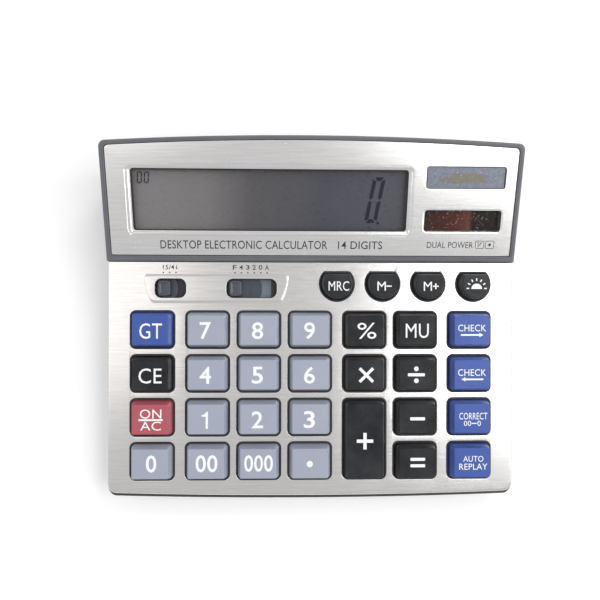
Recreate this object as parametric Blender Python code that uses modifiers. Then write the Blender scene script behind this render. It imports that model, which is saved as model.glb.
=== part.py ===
"""A desk calculator: a wedge-shaped keyboard body with a raised, tilted display head.

Units are metres, +Z is up, X runs across the calculator and +Y points to its back.
Inside the script Y is measured from the front edge; one empty moves it all so that the
origin lies under the middle of the calculator, on the surface that it stands on.
"""

import math

import bmesh
import bpy
from mathutils import Matrix, Vector

# Case
CASE_WIDTH = 0.190
CASE_DEPTH = 0.1625  # front edge to the middle of the bowed rear edge
FRONT_BOW = 0.0016
REAR_BOW = 0.0027
FRONT_CORNER = 0.0045
REAR_CORNER = 0.0030
FRONT_HEIGHT = 0.0165  # top of the keyboard plate at the front edge
FOOT_HEIGHT = 0.0015
WALL = 0.0022
FLOOR = 0.0020
BASE_INSET = 0.0015  # how far the sides draw in towards the bottom
BASE_TAPER = 0.0075  # height over which they do
PLATE = 0.0008
GAP = 0.0003
SHEET_GAP = 0.0002

# The two sloping top faces
KEY_SLOPE = math.radians(4.5)
HEAD_SLOPE = math.radians(19.8)
HEAD_FRONT = 0.1095  # along the keyboard plane, from the front edge to the head
HEAD_STEP = 0.0018  # how far the head's front edge stands above the keyboard plate
HEAD_SETBACK = 0.00025  # of the rim, along the display plane, from the middle of the rear edge
HEAD_BOW = 0.0029
RIM_SIDE = 0.0022  # widths of the bezel's rim round the display plate
RIM_FRONT = 0.0024
RIM_REAR = 0.0018
RIM_CORNERS = (0.0007, 0.0020)  # radii of the rim's inner corners, front and rear
RIM_ROUND = 0.0009
DECK = 0.0018
KEY_PARTING = 0.0065  # depth of the line between the two case halves
FLANGE_GAP = 0.0008
PLATE_ROUND = 0.0013

# Keys
DIGIT_PITCH = 0.02385
GROUP_PITCH = 0.02555
ROW_PITCH = 0.0204
FIRST_COLUMN = -0.07415
BOTTOM_ROW = 0.0164
KEY_HOLE = (0.0209, 0.0179)
KEY_HOLE_RADIUS = 0.0028
COLLAR = 0.0005
COLLAR_RISE = 0.00025
KEY_CLEARANCE = 0.00025
KEY_HEIGHT = 0.0052
KEY_STRAIGHT = 0.0003  # height of the cap's upright skirt above the plate
KEY_TAPER = 0.00125  # how far each side of a cap leans in up to its top face
KEY_TRAVEL = 0.0016
KEY_WALL = 0.0012
KEY_FLANGE = 0.0008
KEY_FLANGE_THICK = 0.0010
STEM = 0.0044
ROUND_KEY_RADIUS = 0.0084
ROUND_KEY_FLAT = 0.0058  # distance from the centre to the straight upper edge
ROUND_KEY_TAPER = 0.00085
ROUND_KEY_Y = 0.0992
ROUND_KEY_FIRST = 0.0117
ROUND_KEY_PITCH = 0.02145
DOME_RADII = (0.0042, 0.0030)
DOME_HEIGHT = 0.0012
MEMBRANE = 0.0010
BOARD = 0.0016
CHIP_SPOT = (-0.030, 0.050)  # the sealed chip under the board
CHIP_RADII = (0.0040, 0.0070)
CHIP_DEPTH = 0.0014

# Slide switches
SLOT_HEIGHT = 0.0089
SLOT_RADIUS = 0.0032
SLOT_Y = 0.0969
ROUNDING_SLOT = (-0.0659, 0.0146)  # centre and length
DECIMAL_SLOT = (-0.0282, 0.0236)
STOP_PITCH = 0.0030
ROUNDING_STOPS = 3
DECIMAL_STOPS = 6
KNOB_SIZE = (0.0060, 0.0076)
KNOB_RISE = 0.0004
SHUTTER = 0.0008
KNOB_RADIUS = 0.0012
KNOB_DRAFT = 0.0004  # how far the knob's sides lean in over its last height
KNOB_GROOVE = (0.0004, 0.0003)  # width and depth of the ridges' grooves
SHUTTER_LAP = 0.0010  # how far the shutter reaches under the deck above and below the slot
SHUTTER_RADIUS = 0.0015
PAD_RISE = 0.0003  # of the raised pad round both slots
PAD_LEFT = ROUNDING_SLOT[0] - 0.0120
PAD_RIGHT = DECIMAL_SLOT[0] + 0.0169
PAD_FRONT = SLOT_Y - 0.0067
PAD_REAR = SLOT_Y + 0.0063
PAD_SWEEP = (0.0035, 0.0007)  # how far its ends draw in at the front edge and at half height

# Display head
WINDOW = (-0.01935, 0.0279, 0.1247, 0.0274)  # centre x, centre y, width, height
WINDOW_STEP = (-0.0190, 0.0279, 0.1302, 0.0318)  # outline of the sunk step round the window
WINDOW_CORNER = 0.0012
WINDOW_STEP_CORNER = 0.0024
LENS_MARGIN = 0.0020
LENS = 0.0010
SOLAR = (0.0693, 0.0190, 0.0352, 0.0095)
SOLAR_CELL = 0.0011
BADGE = (0.0694, 0.0386, 0.0358, 0.0094)
PLATE_SINK = 0.0006  # the display plate lies this far below the rim
BEZEL_FLOOR = 0.0040  # depth of the bezel's underside below the rim
LCD_GLASS = (0.1310, 0.0360, 0.0022)
BACKLIGHT = (0.1280, 0.0320, 0.0025)
LCD_HOLDER = (0.1360, 0.0330, 0.0015)
LCD_HOLDER_BAND = 0.0060
GLASS_DROP = 0.0005  # the glass stack sits this far below the window's middle
RIBBON = 0.0002

# Battery bay and door
BATTERY_LENGTH = 0.0485
BATTERY_RADIUS = 0.00725
BATTERY_NUB = (0.0026, 0.0017)
BATTERY_ROUNDING = (0.0006, 0.0004)  # of the jacket's edges at the nub and at the flat end
CONTACT_SIZE = (0.0005, 0.0100, 0.0120)
SPRING_TURNS = 3
SPRING_STEPS = 12  # straight pieces to a turn
SPRING_RADII = (0.0045, 0.0025)
SPRING_WIRE = 0.00035
BATTERY_X = 0.0515
BATTERY_Y = CASE_DEPTH - 0.0129
BATTERY_Z = 0.0166
SPRING_ROOM = 0.0050
CONTACT_ROOM = 0.0016
DOOR_SIZE = (0.0590, 0.0240)
DOOR_THICKNESS = 0.0016
DOOR_BOTTOM = 0.0100
HINGE_RADIUS = 0.0006
HINGE_PLAY = 0.0001
HINGE_PIN = 0.0012  # how far the hinge pins reach past each end of the door
LATCH_SIZE = (0.0032, 0.0024, 0.0016)

# Fasteners and feet
SCREW_X = CASE_WIDTH / 2 - 0.0064
SCREW_FRONT_Y = 0.0090
SCREW_REAR_Y = 0.1180
SCREW_HEAD = (0.0026, 0.0018)
SCREW_SHANK = (0.0012, 0.0080)
SCREW_POINT = 0.0012
SCREW_SEAT = 0.0030
FOOT = (0.0055, 0.0022)
FOOT_CHAMFER = 0.0005
FOOT_X = CASE_WIDTH / 2 - 0.0170
FOOT_Y = (0.0150, CASE_DEPTH - 0.0185)

CORNER_STEPS = 2
LEAST_RADIUS = 0.0010
ROUND_KEY_STEPS = 10
FAR = 0.3
ABOVE = 0.08  # higher than any part
CUT = 0.01  # how far a cutter reaches past a sheet
HEAD_Y = HEAD_FRONT * math.cos(KEY_SLOPE) - HEAD_STEP * math.sin(KEY_SLOPE)
HEAD_Z = FRONT_HEIGHT + HEAD_FRONT * math.sin(KEY_SLOPE) + HEAD_STEP * math.cos(KEY_SLOPE)
HEAD_LENGTH = (CASE_DEPTH - HEAD_Y) / math.cos(HEAD_SLOPE) - HEAD_SETBACK
HEAD_PARTING = (HEAD_STEP + KEY_PARTING) * math.cos(HEAD_SLOPE) / math.cos(KEY_SLOPE)
DECK_TOP = PLATE + GAP
DECK_UNDER = DECK_TOP + DECK
KEY_FLANGE_TOP = DECK_UNDER + GAP
KEY_BOTTOM = KEY_FLANGE_TOP + KEY_FLANGE_THICK
STEM_BOTTOM = KEY_BOTTOM + SHEET_GAP
MEMBRANE_TOP = STEM_BOTTOM + KEY_TRAVEL + GAP + DOME_HEIGHT  # domes clear a pressed key
BOARD_TOP = MEMBRANE_TOP + MEMBRANE + GAP
BOARD_UNDER = BOARD_TOP + BOARD
PLATE_UNDER = PLATE_SINK + PLATE
BEZEL_SEAT = PLATE_UNDER + GAP
LENS_SEAT = BEZEL_SEAT + LENS + GAP
SHUTTER_TOP = DECK_UNDER + GAP
SHUTTER_UNDER = SHUTTER_TOP + SHUTTER


def rear_edge(x):
    """Plan position of the bowed rear edge."""
    return CASE_DEPTH - REAR_BOW * (2 * x / CASE_WIDTH) ** 2


LATCH_Y = rear_edge(BATTERY_X) + LATCH_SIZE[1]
OVERALL_DEPTH = max(CASE_DEPTH, LATCH_Y)


# Scene helpers

for old in list(bpy.data.objects):
    bpy.data.objects.remove(old)

PARTS = bpy.data.collections.new("desk_calculator")
bpy.context.scene.collection.children.link(PARTS)


def material(name, colour, roughness, metallic=0.0, alpha=1.0):
    made = bpy.data.materials.new(name)
    made.use_nodes = True
    shader = made.node_tree.nodes["Principled BSDF"]
    shader.inputs["Base Color"].default_value = (*colour, 1.0)
    shader.inputs["Roughness"].default_value = roughness
    shader.inputs["Metallic"].default_value = metallic
    shader.inputs["Alpha"].default_value = alpha
    return made


DARK_PLASTIC = material("dark_grey_plastic", (0.10, 0.10, 0.11), 0.55)
ALUMINIUM = material("brushed_aluminium", (0.66, 0.65, 0.63), 0.35, 1.0)
GREY_KEY = material("grey_key_plastic", (0.37, 0.40, 0.46), 0.45)
BLACK_KEY = material("black_key_plastic", (0.03, 0.032, 0.038), 0.45)
BLUE_KEY = material("blue_key_plastic", (0.035, 0.09, 0.36), 0.40)
RED_KEY = material("red_key_plastic", (0.42, 0.08, 0.10), 0.40)
CLEAR = material("clear_acrylic", (0.95, 0.96, 0.97), 0.05, 0.0, 0.25)
LCD = material("lcd_glass", (0.17, 0.17, 0.18), 0.15)
LIGHT_GUIDE = material("light_guide", (0.75, 0.77, 0.75), 0.30)
SOLAR_FILM = material("solar_film", (0.09, 0.025, 0.02), 0.15)
BADGE_FACE = material("badge_face", (0.20, 0.23, 0.30), 0.30, 0.5)
SILICONE = material("silicone_rubber", (0.45, 0.46, 0.46), 0.70)
CIRCUIT_BOARD = material("circuit_board", (0.12, 0.28, 0.12), 0.50)
FLEX = material("flex_film", (0.55, 0.38, 0.12), 0.35)
BATTERY_JACKET = material("battery_jacket", (0.10, 0.12, 0.16), 0.30, 0.6)
SPRING_STEEL = material("nickelled_spring_steel", (0.70, 0.69, 0.66), 0.30, 1.0)
BLACK_RUBBER = material("black_rubber", (0.02, 0.02, 0.02), 0.85)
ZINC = material("zinc_plated_screw", (0.55, 0.55, 0.56), 0.35, 1.0)


def empty(name, parent=None, location=(0, 0, 0), rotation=(0, 0, 0)):
    made = bpy.data.objects.new(name, None)
    made.empty_display_size = 0.01
    made.location = location
    made.rotation_euler = rotation
    made.parent = parent
    PARTS.objects.link(made)
    return made


CENTRE = empty("calculator", location=(0, -OVERALL_DEPTH / 2, 0))
KEYBOARD = empty("keyboard_plane", CENTRE, (0, 0, FRONT_HEIGHT), (KEY_SLOPE, 0, 0))
HEAD = empty("display_plane", CENTRE, (0, HEAD_Y, HEAD_Z), (HEAD_SLOPE, 0, 0))
DOOR_TURN = -math.atan(8 * REAR_BOW * BATTERY_X / CASE_WIDTH**2)
DOOR = empty("door_hinge", CENTRE, (BATTERY_X, rear_edge(BATTERY_X), DOOR_BOTTOM), (0, 0, DOOR_TURN))


def place(name, mesh, look=None, frame=CENTRE, location=(0, 0, 0)):
    """A new object in a frame. Its material hangs on the object, so that meshes can be shared."""
    made = bpy.data.objects.new(name, mesh)
    if not mesh.materials:
        mesh.materials.append(None)
    made.material_slots[0].link = "OBJECT"
    made.material_slots[0].material = look
    made.parent = frame
    made.location = location
    PARTS.objects.link(made)
    return made


def settled(thing):
    """Puts an object's modifiers into its mesh."""
    bpy.context.view_layer.update()
    graph = bpy.context.evaluated_depsgraph_get()
    mesh = bpy.data.meshes.new_from_object(thing.evaluated_get(graph))
    thing.modifiers.clear()
    thing.data = mesh
    return thing


def combine(thing, operation, other):
    """Boolean of two objects, which uses up the second one."""
    step = thing.modifiers.new(operation.lower(), "BOOLEAN")
    step.operation = operation
    step.object = other
    settled(thing)
    bpy.data.objects.remove(other)
    return thing


def rounded(thing, width, segments, angle=35):
    step = thing.modifiers.new("rounding", "BEVEL")
    step.width = width
    step.segments = segments
    step.limit_method = "ANGLE"
    step.angle_limit = math.radians(angle)
    return settled(thing)


def smooth(thing, angle=30):
    thing.data.shade_smooth()
    thing.data.set_sharp_from_angle(angle=math.radians(angle))
    return thing


# Outlines and solids


def arc(centre, radius, start, end, steps):
    """Points on an arc, both ends included, angles in degrees."""
    angles = [math.radians(start + (end - start) * i / steps) for i in range(steps + 1)]
    return [(centre[0] + radius * math.cos(a), centre[1] + radius * math.sin(a)) for a in angles]


def rounded_rectangle(width, height, radius, centre=(0, 0), steps=CORNER_STEPS):
    x, y = width / 2 - radius, height / 2 - radius
    points = []
    for sx, sy, start in ((1, 1, 0), (-1, 1, 90), (-1, -1, 180), (1, -1, 270)):
        points += arc((centre[0] + sx * x, centre[1] + sy * y), radius, start, start + 90, steps)
    return points


def grown(shape, by):
    """The size, radius and kind of a hole or cap, made larger all round."""
    kind, a, b, radius = shape
    if kind == "round":
        return (kind, a + by, b + by, radius)
    return (kind, a + 2 * by, b + 2 * by, max(radius + by, 0.0006))


def outline_of(shape, centre=(0, 0)):
    kind, a, b, radius = shape
    if kind == "round":
        chord = math.degrees(math.asin(b / a))
        return arc(centre, a, 180 - chord, 360 + chord, ROUND_KEY_STEPS)
    return rounded_rectangle(a, b, radius, centre)


def circle(radius, centre=(0, 0), steps=16):
    return arc(centre, radius, 0, 360 - 360 / steps, steps - 1)


def bowed_outline(half, front, rear, corners, front_bow, rear_bow, steps=8):
    """A four-sided outline with rounded corners whose front and rear edges are slightly bowed."""
    edges = []
    for base, bow, radius in ((front, front_bow, corners[0]), (rear, -rear_bow, corners[1])):
        across = [(half - radius) * (2 * i / steps - 1) for i in range(steps + 1)]
        edges.append([(x, base + bow * (x / half) ** 2) for x in across])
    front_edge, rear_edge_line = edges
    front_reach, rear_reach = (half - radius for radius in corners)
    front_y, rear_y = front_edge[-1][1] + corners[0], rear_edge_line[-1][1] - corners[1]
    points = front_edge
    points += arc((front_reach, front_y), corners[0], -90, 0, CORNER_STEPS)[1:]
    points += arc((rear_reach, rear_y), corners[1], 0, 90, CORNER_STEPS)[:-1]
    points += rear_edge_line[::-1]
    points += arc((-rear_reach, rear_y), corners[1], 90, 180, CORNER_STEPS)[1:]
    points += arc((-front_reach, front_y), corners[0], 180, 270, CORNER_STEPS)[:-1]
    return points


def plan_outline(inset):
    corners = [max(radius - inset, LEAST_RADIUS) for radius in (FRONT_CORNER, REAR_CORNER)]
    return bowed_outline(CASE_WIDTH / 2 - inset, inset, CASE_DEPTH - inset, corners, FRONT_BOW, REAR_BOW)


def head_outline(inset=0.0):
    """The opening inside the display head's rim, drawn in by inset."""
    corners = [max(radius - inset, LEAST_RADIUS / 2) for radius in RIM_CORNERS]
    half = CASE_WIDTH / 2 - RIM_SIDE - inset
    return bowed_outline(half, RIM_FRONT + inset, HEAD_LENGTH - RIM_REAR - inset, corners, 0.0, HEAD_BOW)


def stack(sections, made=None):
    """A solid raised through sections of (outline, height), which all have as many points."""
    made = made or bmesh.new()
    rings = [[made.verts.new((x, y, height)) for x, y in outline] for outline, height in sections]
    made.faces.new(rings[0])
    made.faces.new(rings[-1])
    for low, high in zip(rings, rings[1:]):
        for i in range(len(low)):
            made.faces.new((low[i - 1], low[i], high[i], high[i - 1]))
    return made


def prism(outline, low, high, made=None):
    return stack([(outline, low), (outline, high)], made)


def mesh_of(made, name="solid"):
    bmesh.ops.recalc_face_normals(made, faces=made.faces)
    mesh = bpy.data.meshes.new(name)
    made.to_mesh(mesh)
    made.free()
    return mesh


def cutter(made, frame=CENTRE, location=(0, 0, 0)):
    """A helper solid that a Boolean uses up."""
    return place("helper", mesh_of(made), None, frame, location)


def box(low, high, made=None):
    """A box between two corners."""
    made = made or bmesh.new()
    size, middle = Vector(high) - Vector(low), (Vector(high) + Vector(low)) / 2
    bmesh.ops.create_cube(made, size=1, matrix=Matrix.Translation(middle) @ Matrix.Diagonal((*size, 1)))
    return made


def turned(name, profile, look, location, steps, rotation=(0, 0, 0)):
    """A round part from its profile of (radius, height), listed from the top down its outside."""
    made = bmesh.new()
    verts = [made.verts.new((r, 0, z)) for r, z in profile]
    for a, b in zip(verts, verts[1:]):
        made.edges.new((a, b))
    mesh = bpy.data.meshes.new(name)
    made.to_mesh(mesh)
    made.free()
    part = place(name, mesh, look, location=location)
    part.rotation_euler = rotation
    turn = part.modifiers.new("turning", "SCREW")
    turn.steps = turn.render_steps = steps
    turn.use_merge_vertices = True
    turn.merge_threshold = 0.00001
    return smooth(settled(part))


# The case as blocks


def key_line(y, depth):
    """Height of the plane that lies depth below the keyboard plate, at plan position y."""
    return FRONT_HEIGHT + y * math.tan(KEY_SLOPE) - depth / math.cos(KEY_SLOPE)


def head_line(y, depth):
    return HEAD_Z + (y - HEAD_Y) * math.tan(HEAD_SLOPE) - depth / math.cos(HEAD_SLOPE)


def crossing(key_depth, head_depth):
    """Plan position where those two planes meet."""
    difference = key_line(0, key_depth) - head_line(0, head_depth)
    return difference / (math.tan(HEAD_SLOPE) - math.tan(KEY_SLOPE))


def bent_line(key_depth, head_depth, start, end):
    """The line of both planes seen from the side, from plan position start to end."""
    turn = crossing(key_depth, head_depth)
    first = key_line(start, key_depth) if start < turn else head_line(start, head_depth)
    points = [(start, first)]
    if start < turn < end:
        points.append((turn, key_line(turn, key_depth)))
    last = head_line(end, head_depth) if end > turn else key_line(end, key_depth)
    return points + [(end, last)]


def side_prism(outline):
    """A solid right across the case from its (y, z) outline."""
    made = prism(outline, -FAR, FAR)
    made.transform(Matrix(((0, 0, 1, 0), (1, 0, 0, 0), (0, 1, 0, 0), (0, 0, 0, 1))))
    return cutter(made)


def case_block(name, inset, outline, look=None, floor=FOOT_HEIGHT):
    """What the case's plan, drawn in by inset, has in common with a side outline."""
    low, waist = plan_outline(inset + BASE_INSET), plan_outline(inset)
    made = stack([(low, floor), (waist, FOOT_HEIGHT + BASE_TAPER), (waist, ABOVE)])
    block = place(name, mesh_of(made, name), look)
    return combine(block, "INTERSECT", side_prism(outline))


def column_x(column):
    """X of a key column: one key, three digits, two operators, one key."""
    wide = sum(1 for first in (1, 4, 6) if column >= first)
    return FIRST_COLUMN + wide * GROUP_PITCH + (column - wide) * DIGIT_PITCH


def row_y(row):
    """Position of a key row up the keyboard plane, row 0 nearest the front."""
    return BOTTOM_ROW + row * ROW_PITCH


KEY_SHAPE = ("plain", KEY_HOLE[0], KEY_HOLE[1], KEY_HOLE_RADIUS)
TALL_SHAPE = ("plain", KEY_HOLE[0], KEY_HOLE[1] + ROW_PITCH, KEY_HOLE_RADIUS)
ROUND_SHAPE = ("round", ROUND_KEY_RADIUS, ROUND_KEY_FLAT, 0)

# name, column, row, colour
KEYS = [
    ("key_0", 0, 0, GREY_KEY), ("key_00", 1, 0, GREY_KEY), ("key_000", 2, 0, GREY_KEY),
    ("key_point", 3, 0, GREY_KEY), ("key_equals", 5, 0, BLACK_KEY), ("key_auto_replay", 6, 0, BLUE_KEY),
    ("key_on_ac", 0, 1, RED_KEY), ("key_1", 1, 1, GREY_KEY), ("key_2", 2, 1, GREY_KEY),
    ("key_3", 3, 1, GREY_KEY), ("key_minus", 5, 1, BLACK_KEY), ("key_correct", 6, 1, BLUE_KEY),
    ("key_ce", 0, 2, BLACK_KEY), ("key_4", 1, 2, GREY_KEY), ("key_5", 2, 2, GREY_KEY),
    ("key_6", 3, 2, GREY_KEY), ("key_multiply", 4, 2, BLACK_KEY), ("key_divide", 5, 2, BLACK_KEY),
    ("key_check_back", 6, 2, BLUE_KEY), ("key_gt", 0, 3, BLUE_KEY), ("key_7", 1, 3, GREY_KEY),
    ("key_8", 2, 3, GREY_KEY), ("key_9", 3, 3, GREY_KEY), ("key_percent", 4, 3, BLACK_KEY),
    ("key_mu", 5, 3, BLACK_KEY), ("key_check_forward", 6, 3, BLUE_KEY),
]
ROUND_KEYS = ["key_mrc", "key_m_minus", "key_m_plus", "key_light"]


def key_places():
    """Every key as (name, shape, centre, colour)."""
    found = [(n, KEY_SHAPE, (column_x(c), row_y(r)), look) for n, c, r, look in KEYS]
    found.append(("key_plus", TALL_SHAPE, (column_x(4), row_y(0.5)), BLACK_KEY))
    for i, name in enumerate(ROUND_KEYS):
        found.append((name, ROUND_SHAPE, (ROUND_KEY_FIRST + i * ROUND_KEY_PITCH, ROUND_KEY_Y), BLACK_KEY))
    return found


ALL_KEYS = key_places()


def holes(by, low, high):
    """Cutter for every key, each hole grown by a clearance."""
    made = bmesh.new()
    for _, shape, centre, _ in ALL_KEYS:
        prism(outline_of(grown(shape, by), centre), low, high, made)
    return made


def slots(by, low, high, made=None):
    made = made or bmesh.new()
    for x, length in (ROUNDING_SLOT, DECIMAL_SLOT):
        outline = rounded_rectangle(length + 2 * by, SLOT_HEIGHT + 2 * by, SLOT_RADIUS + by, (x, SLOT_Y))
        prism(outline, low, high, made)
    return made


def opening(place_on_head, margin, low, high, radius=WINDOW_CORNER, made=None):
    """A rounded rectangular cutter on the display plane."""
    x, y, width, height = place_on_head
    outline = rounded_rectangle(width + 2 * margin, height + 2 * margin, radius, (x, y))
    return prism(outline, low, high, made)


SCREW_SPOTS = [(side * SCREW_X, y) for y in (SCREW_FRONT_Y, SCREW_REAR_Y) for side in (-1, 1)]
SCREW_NAMES = ["screw_front_left", "screw_front_right", "screw_rear_left", "screw_rear_right"]
BOSS_RADIUS = 0.0030
POST_RADIUS = 0.0041
COUNTERBORE = 0.0030


def boss_top(y):
    """Where a screw post reaches into the underside of the deck or the bezel."""
    under_deck = key_line(y, DECK_UNDER - DECK / 2)
    return under_deck if y < HEAD_Y else head_line(y, BEZEL_FLOOR - DECK / 2)


def post_top(y):
    """Height of a lower screw post, just under the parting line at its front."""
    return bent_line(KEY_PARTING + GAP, HEAD_PARTING + GAP, y - POST_RADIUS, y)[0][1]


# Upper case: key deck and display housing


def boss_block(y_spots):
    """Screw bosses under the deck or the bezel."""
    bosses = bmesh.new()
    for x, y in SCREW_SPOTS:
        if y in y_spots:
            prism(circle(BOSS_RADIUS, (x, y), 12), post_top(y) + GAP, boss_top(y), bosses)
    return cutter(bosses)


def pilot_holes():
    pilots = bmesh.new()
    for x, y in SCREW_SPOTS:
        prism(circle(SCREW_SHANK[0] + SHEET_GAP, (x, y), 12), 0, screw_tip(y) + GAP, pilots)
    return cutter(pilots)


def build_key_deck():
    """The dark deck under the keyboard plate, with a raised collar round every key."""
    end = HEAD_Y - GAP
    outline = [(-FAR, key_line(-FAR, KEY_PARTING)), (end, key_line(end, KEY_PARTING)),
               (end, key_line(end, DECK_TOP)), (-FAR, key_line(-FAR, DECK_TOP))]
    deck = case_block("key_deck", PLATE + GAP, outline, DARK_PLASTIC)
    room = [(-FAR, key_line(-FAR, DECK_UNDER)), (FAR, key_line(FAR, DECK_UNDER)), (FAR, -FAR), (-FAR, -FAR)]
    combine(deck, "DIFFERENCE", case_block("helper", PLATE + GAP + WALL, room, floor=0))
    combine(deck, "UNION", boss_block([SCREW_FRONT_Y]))
    collar_low = -DECK_TOP - DECK / 2
    combine(deck, "UNION", cutter(holes(-SHEET_GAP, collar_low, COLLAR_RISE), KEYBOARD))
    combine(deck, "DIFFERENCE", cutter(holes(-SHEET_GAP - COLLAR, -CUT, CUT), KEYBOARD))
    combine(deck, "DIFFERENCE", cutter(slots(-SHEET_GAP, -CUT, CUT), KEYBOARD))
    return smooth(combine(deck, "DIFFERENCE", pilot_holes()))


def build_display_housing():
    """The dark frame of the display head, open underneath and below the deck at its front."""
    block = [(HEAD_Y, 0), (FAR, 0), (FAR, head_line(FAR, 0)), (HEAD_Y, head_line(HEAD_Y, 0))]
    housing = rounded(case_block("display_housing", 0, block, DARK_PLASTIC), RIM_ROUND, 2)
    below = [(-FAR, -FAR), (-FAR, head_line(-FAR, HEAD_PARTING)), (FAR, head_line(FAR, HEAD_PARTING)),
             (FAR, -FAR)]
    combine(housing, "DIFFERENCE", side_prism(below))
    wall_inside = HEAD_Y + WALL
    room = [(wall_inside, -FAR), (FAR, -FAR), (FAR, head_line(FAR, BEZEL_FLOOR)),
            (wall_inside, head_line(wall_inside, BEZEL_FLOOR))]
    combine(housing, "DIFFERENCE", case_block("helper", WALL, room, floor=0))
    doorway_end = HEAD_Y + 3 * WALL
    doorway = [(-FAR, key_line(-FAR, DECK_UNDER)), (doorway_end, key_line(doorway_end, DECK_UNDER)),
               (doorway_end, -FAR), (-FAR, -FAR)]
    combine(housing, "DIFFERENCE", case_block("helper", PLATE + GAP + WALL, doorway, floor=0))
    combine(housing, "UNION", boss_block([SCREW_REAR_Y]))

    combine(housing, "DIFFERENCE", cutter(prism(head_outline(), -BEZEL_SEAT, CUT), HEAD))
    pockets = opening(WINDOW, LENS_MARGIN + SHEET_GAP, -LENS_SEAT, CUT)
    opening(SOLAR, LENS_MARGIN + SHEET_GAP, -LENS_SEAT, CUT, made=pockets)
    combine(housing, "DIFFERENCE", cutter(pockets, HEAD))
    windows = opening(WINDOW, 0, -CUT, CUT)
    opening(SOLAR, 0, -CUT, CUT, made=windows)
    combine(housing, "DIFFERENCE", cutter(windows, HEAD))
    return smooth(combine(housing, "DIFFERENCE", pilot_holes()))


# Lower case


def screw_seat(y):
    """Height of the shoulder that a screw's head bears on."""
    return post_top(y) - SCREW_SEAT


def screw_tip(y):
    return screw_seat(y) + SCREW_SHANK[1]


BAY_LENGTH = BATTERY_LENGTH + BATTERY_NUB[1] + SPRING_ROOM + CONTACT_ROOM
BAY_HALF = BAY_LENGTH / 2
BAY_REACH = BATTERY_RADIUS + 2 * GAP
BAY_WALL = 0.0012
FEET = [(side * FOOT_X, y) for y in FOOT_Y for side in (-1, 1)]
FOOT_NAMES = ["foot_front_left", "foot_front_right", "foot_rear_left", "foot_rear_right"]
BOARD_POSTS = [(-0.0614, 0.0268), (0.0614, 0.0268), (-0.0614, 0.0880), (0.0614, 0.0880)]


def build_lower_case():
    outer = [(-FAR, -FAR)] + bent_line(KEY_PARTING + GAP, HEAD_PARTING + GAP, -FAR, FAR) + [(FAR, -FAR)]
    case = case_block("lower_case", 0, outer, DARK_PLASTIC)
    room_floor = FOOT_HEIGHT + FLOOR
    room = [(-FAR, room_floor), (-FAR, ABOVE), (FAR, ABOVE), (FAR, room_floor)]
    combine(case, "DIFFERENCE", case_block("helper", WALL, room))

    posts = bmesh.new()
    for x, y in SCREW_SPOTS:
        prism(circle(POST_RADIUS, (x, y), 12), FOOT_HEIGHT + FLOOR / 2, post_top(y), posts)
    for x, y in BOARD_POSTS:
        top = key_line(y - BOSS_RADIUS, BOARD_UNDER + GAP)
        prism(circle(BOSS_RADIUS, (x, y), 8), FOOT_HEIGHT + FLOOR / 2, top, posts)
    combine(case, "UNION", cutter(posts))
    bay_low, bay_high = BATTERY_Z - BAY_REACH, BATTERY_Z + BAY_REACH
    bay_front = BATTERY_Y - BAY_REACH
    shell = box((BATTERY_X - BAY_HALF - BAY_WALL, bay_front - BAY_WALL, bay_low - BAY_WALL),
                (BATTERY_X + BAY_HALF + BAY_WALL, rear_edge(BATTERY_X + BAY_HALF) - WALL / 2,
                 bay_high + BAY_WALL))
    combine(case, "UNION", cutter(shell))
    backing = box((-DOOR_SIZE[0] / 2 - WALL, -DOOR_THICKNESS - 2 * GAP - WALL, -DOOR_THICKNESS / 2 - WALL),
                  (DOOR_SIZE[0] / 2 + WALL, -WALL / 2, DOOR_SIZE[1] + WALL / 2))
    combine(case, "UNION", cutter(backing, DOOR))

    seat = box((-DOOR_SIZE[0] / 2 - GAP, -DOOR_THICKNESS - 2 * GAP, -DOOR_THICKNESS / 2 - GAP),
               (DOOR_SIZE[0] / 2 + GAP, WALL, DOOR_SIZE[1] + GAP))
    combine(case, "DIFFERENCE", cutter(seat, DOOR))
    bay = box((BATTERY_X - BAY_HALF, bay_front, bay_low), (BATTERY_X + BAY_HALF, CASE_DEPTH + WALL, bay_high))
    combine(case, "DIFFERENCE", cutter(bay))
    combine(case, "DIFFERENCE", hinge_rod(HINGE_RADIUS + HINGE_PLAY, HINGE_PIN + SHEET_GAP))

    bores = bmesh.new()
    for x, y in SCREW_SPOTS:
        prism(circle(COUNTERBORE, (x, y), 16), 0, screw_seat(y), bores)
    combine(case, "DIFFERENCE", cutter(bores))
    bores = bmesh.new()
    for x, y in SCREW_SPOTS:
        prism(circle(SCREW_SHANK[0] + GAP, (x, y), 12), 0, ABOVE, bores)
    combine(case, "DIFFERENCE", cutter(bores))
    recesses = bmesh.new()
    for spot in FEET:
        prism(circle(FOOT[0] + SHEET_GAP, spot, 20), 0, FOOT[1] + GAP, recesses)
    return smooth(combine(case, "DIFFERENCE", cutter(recesses)))


# Keyboard pieces


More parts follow.
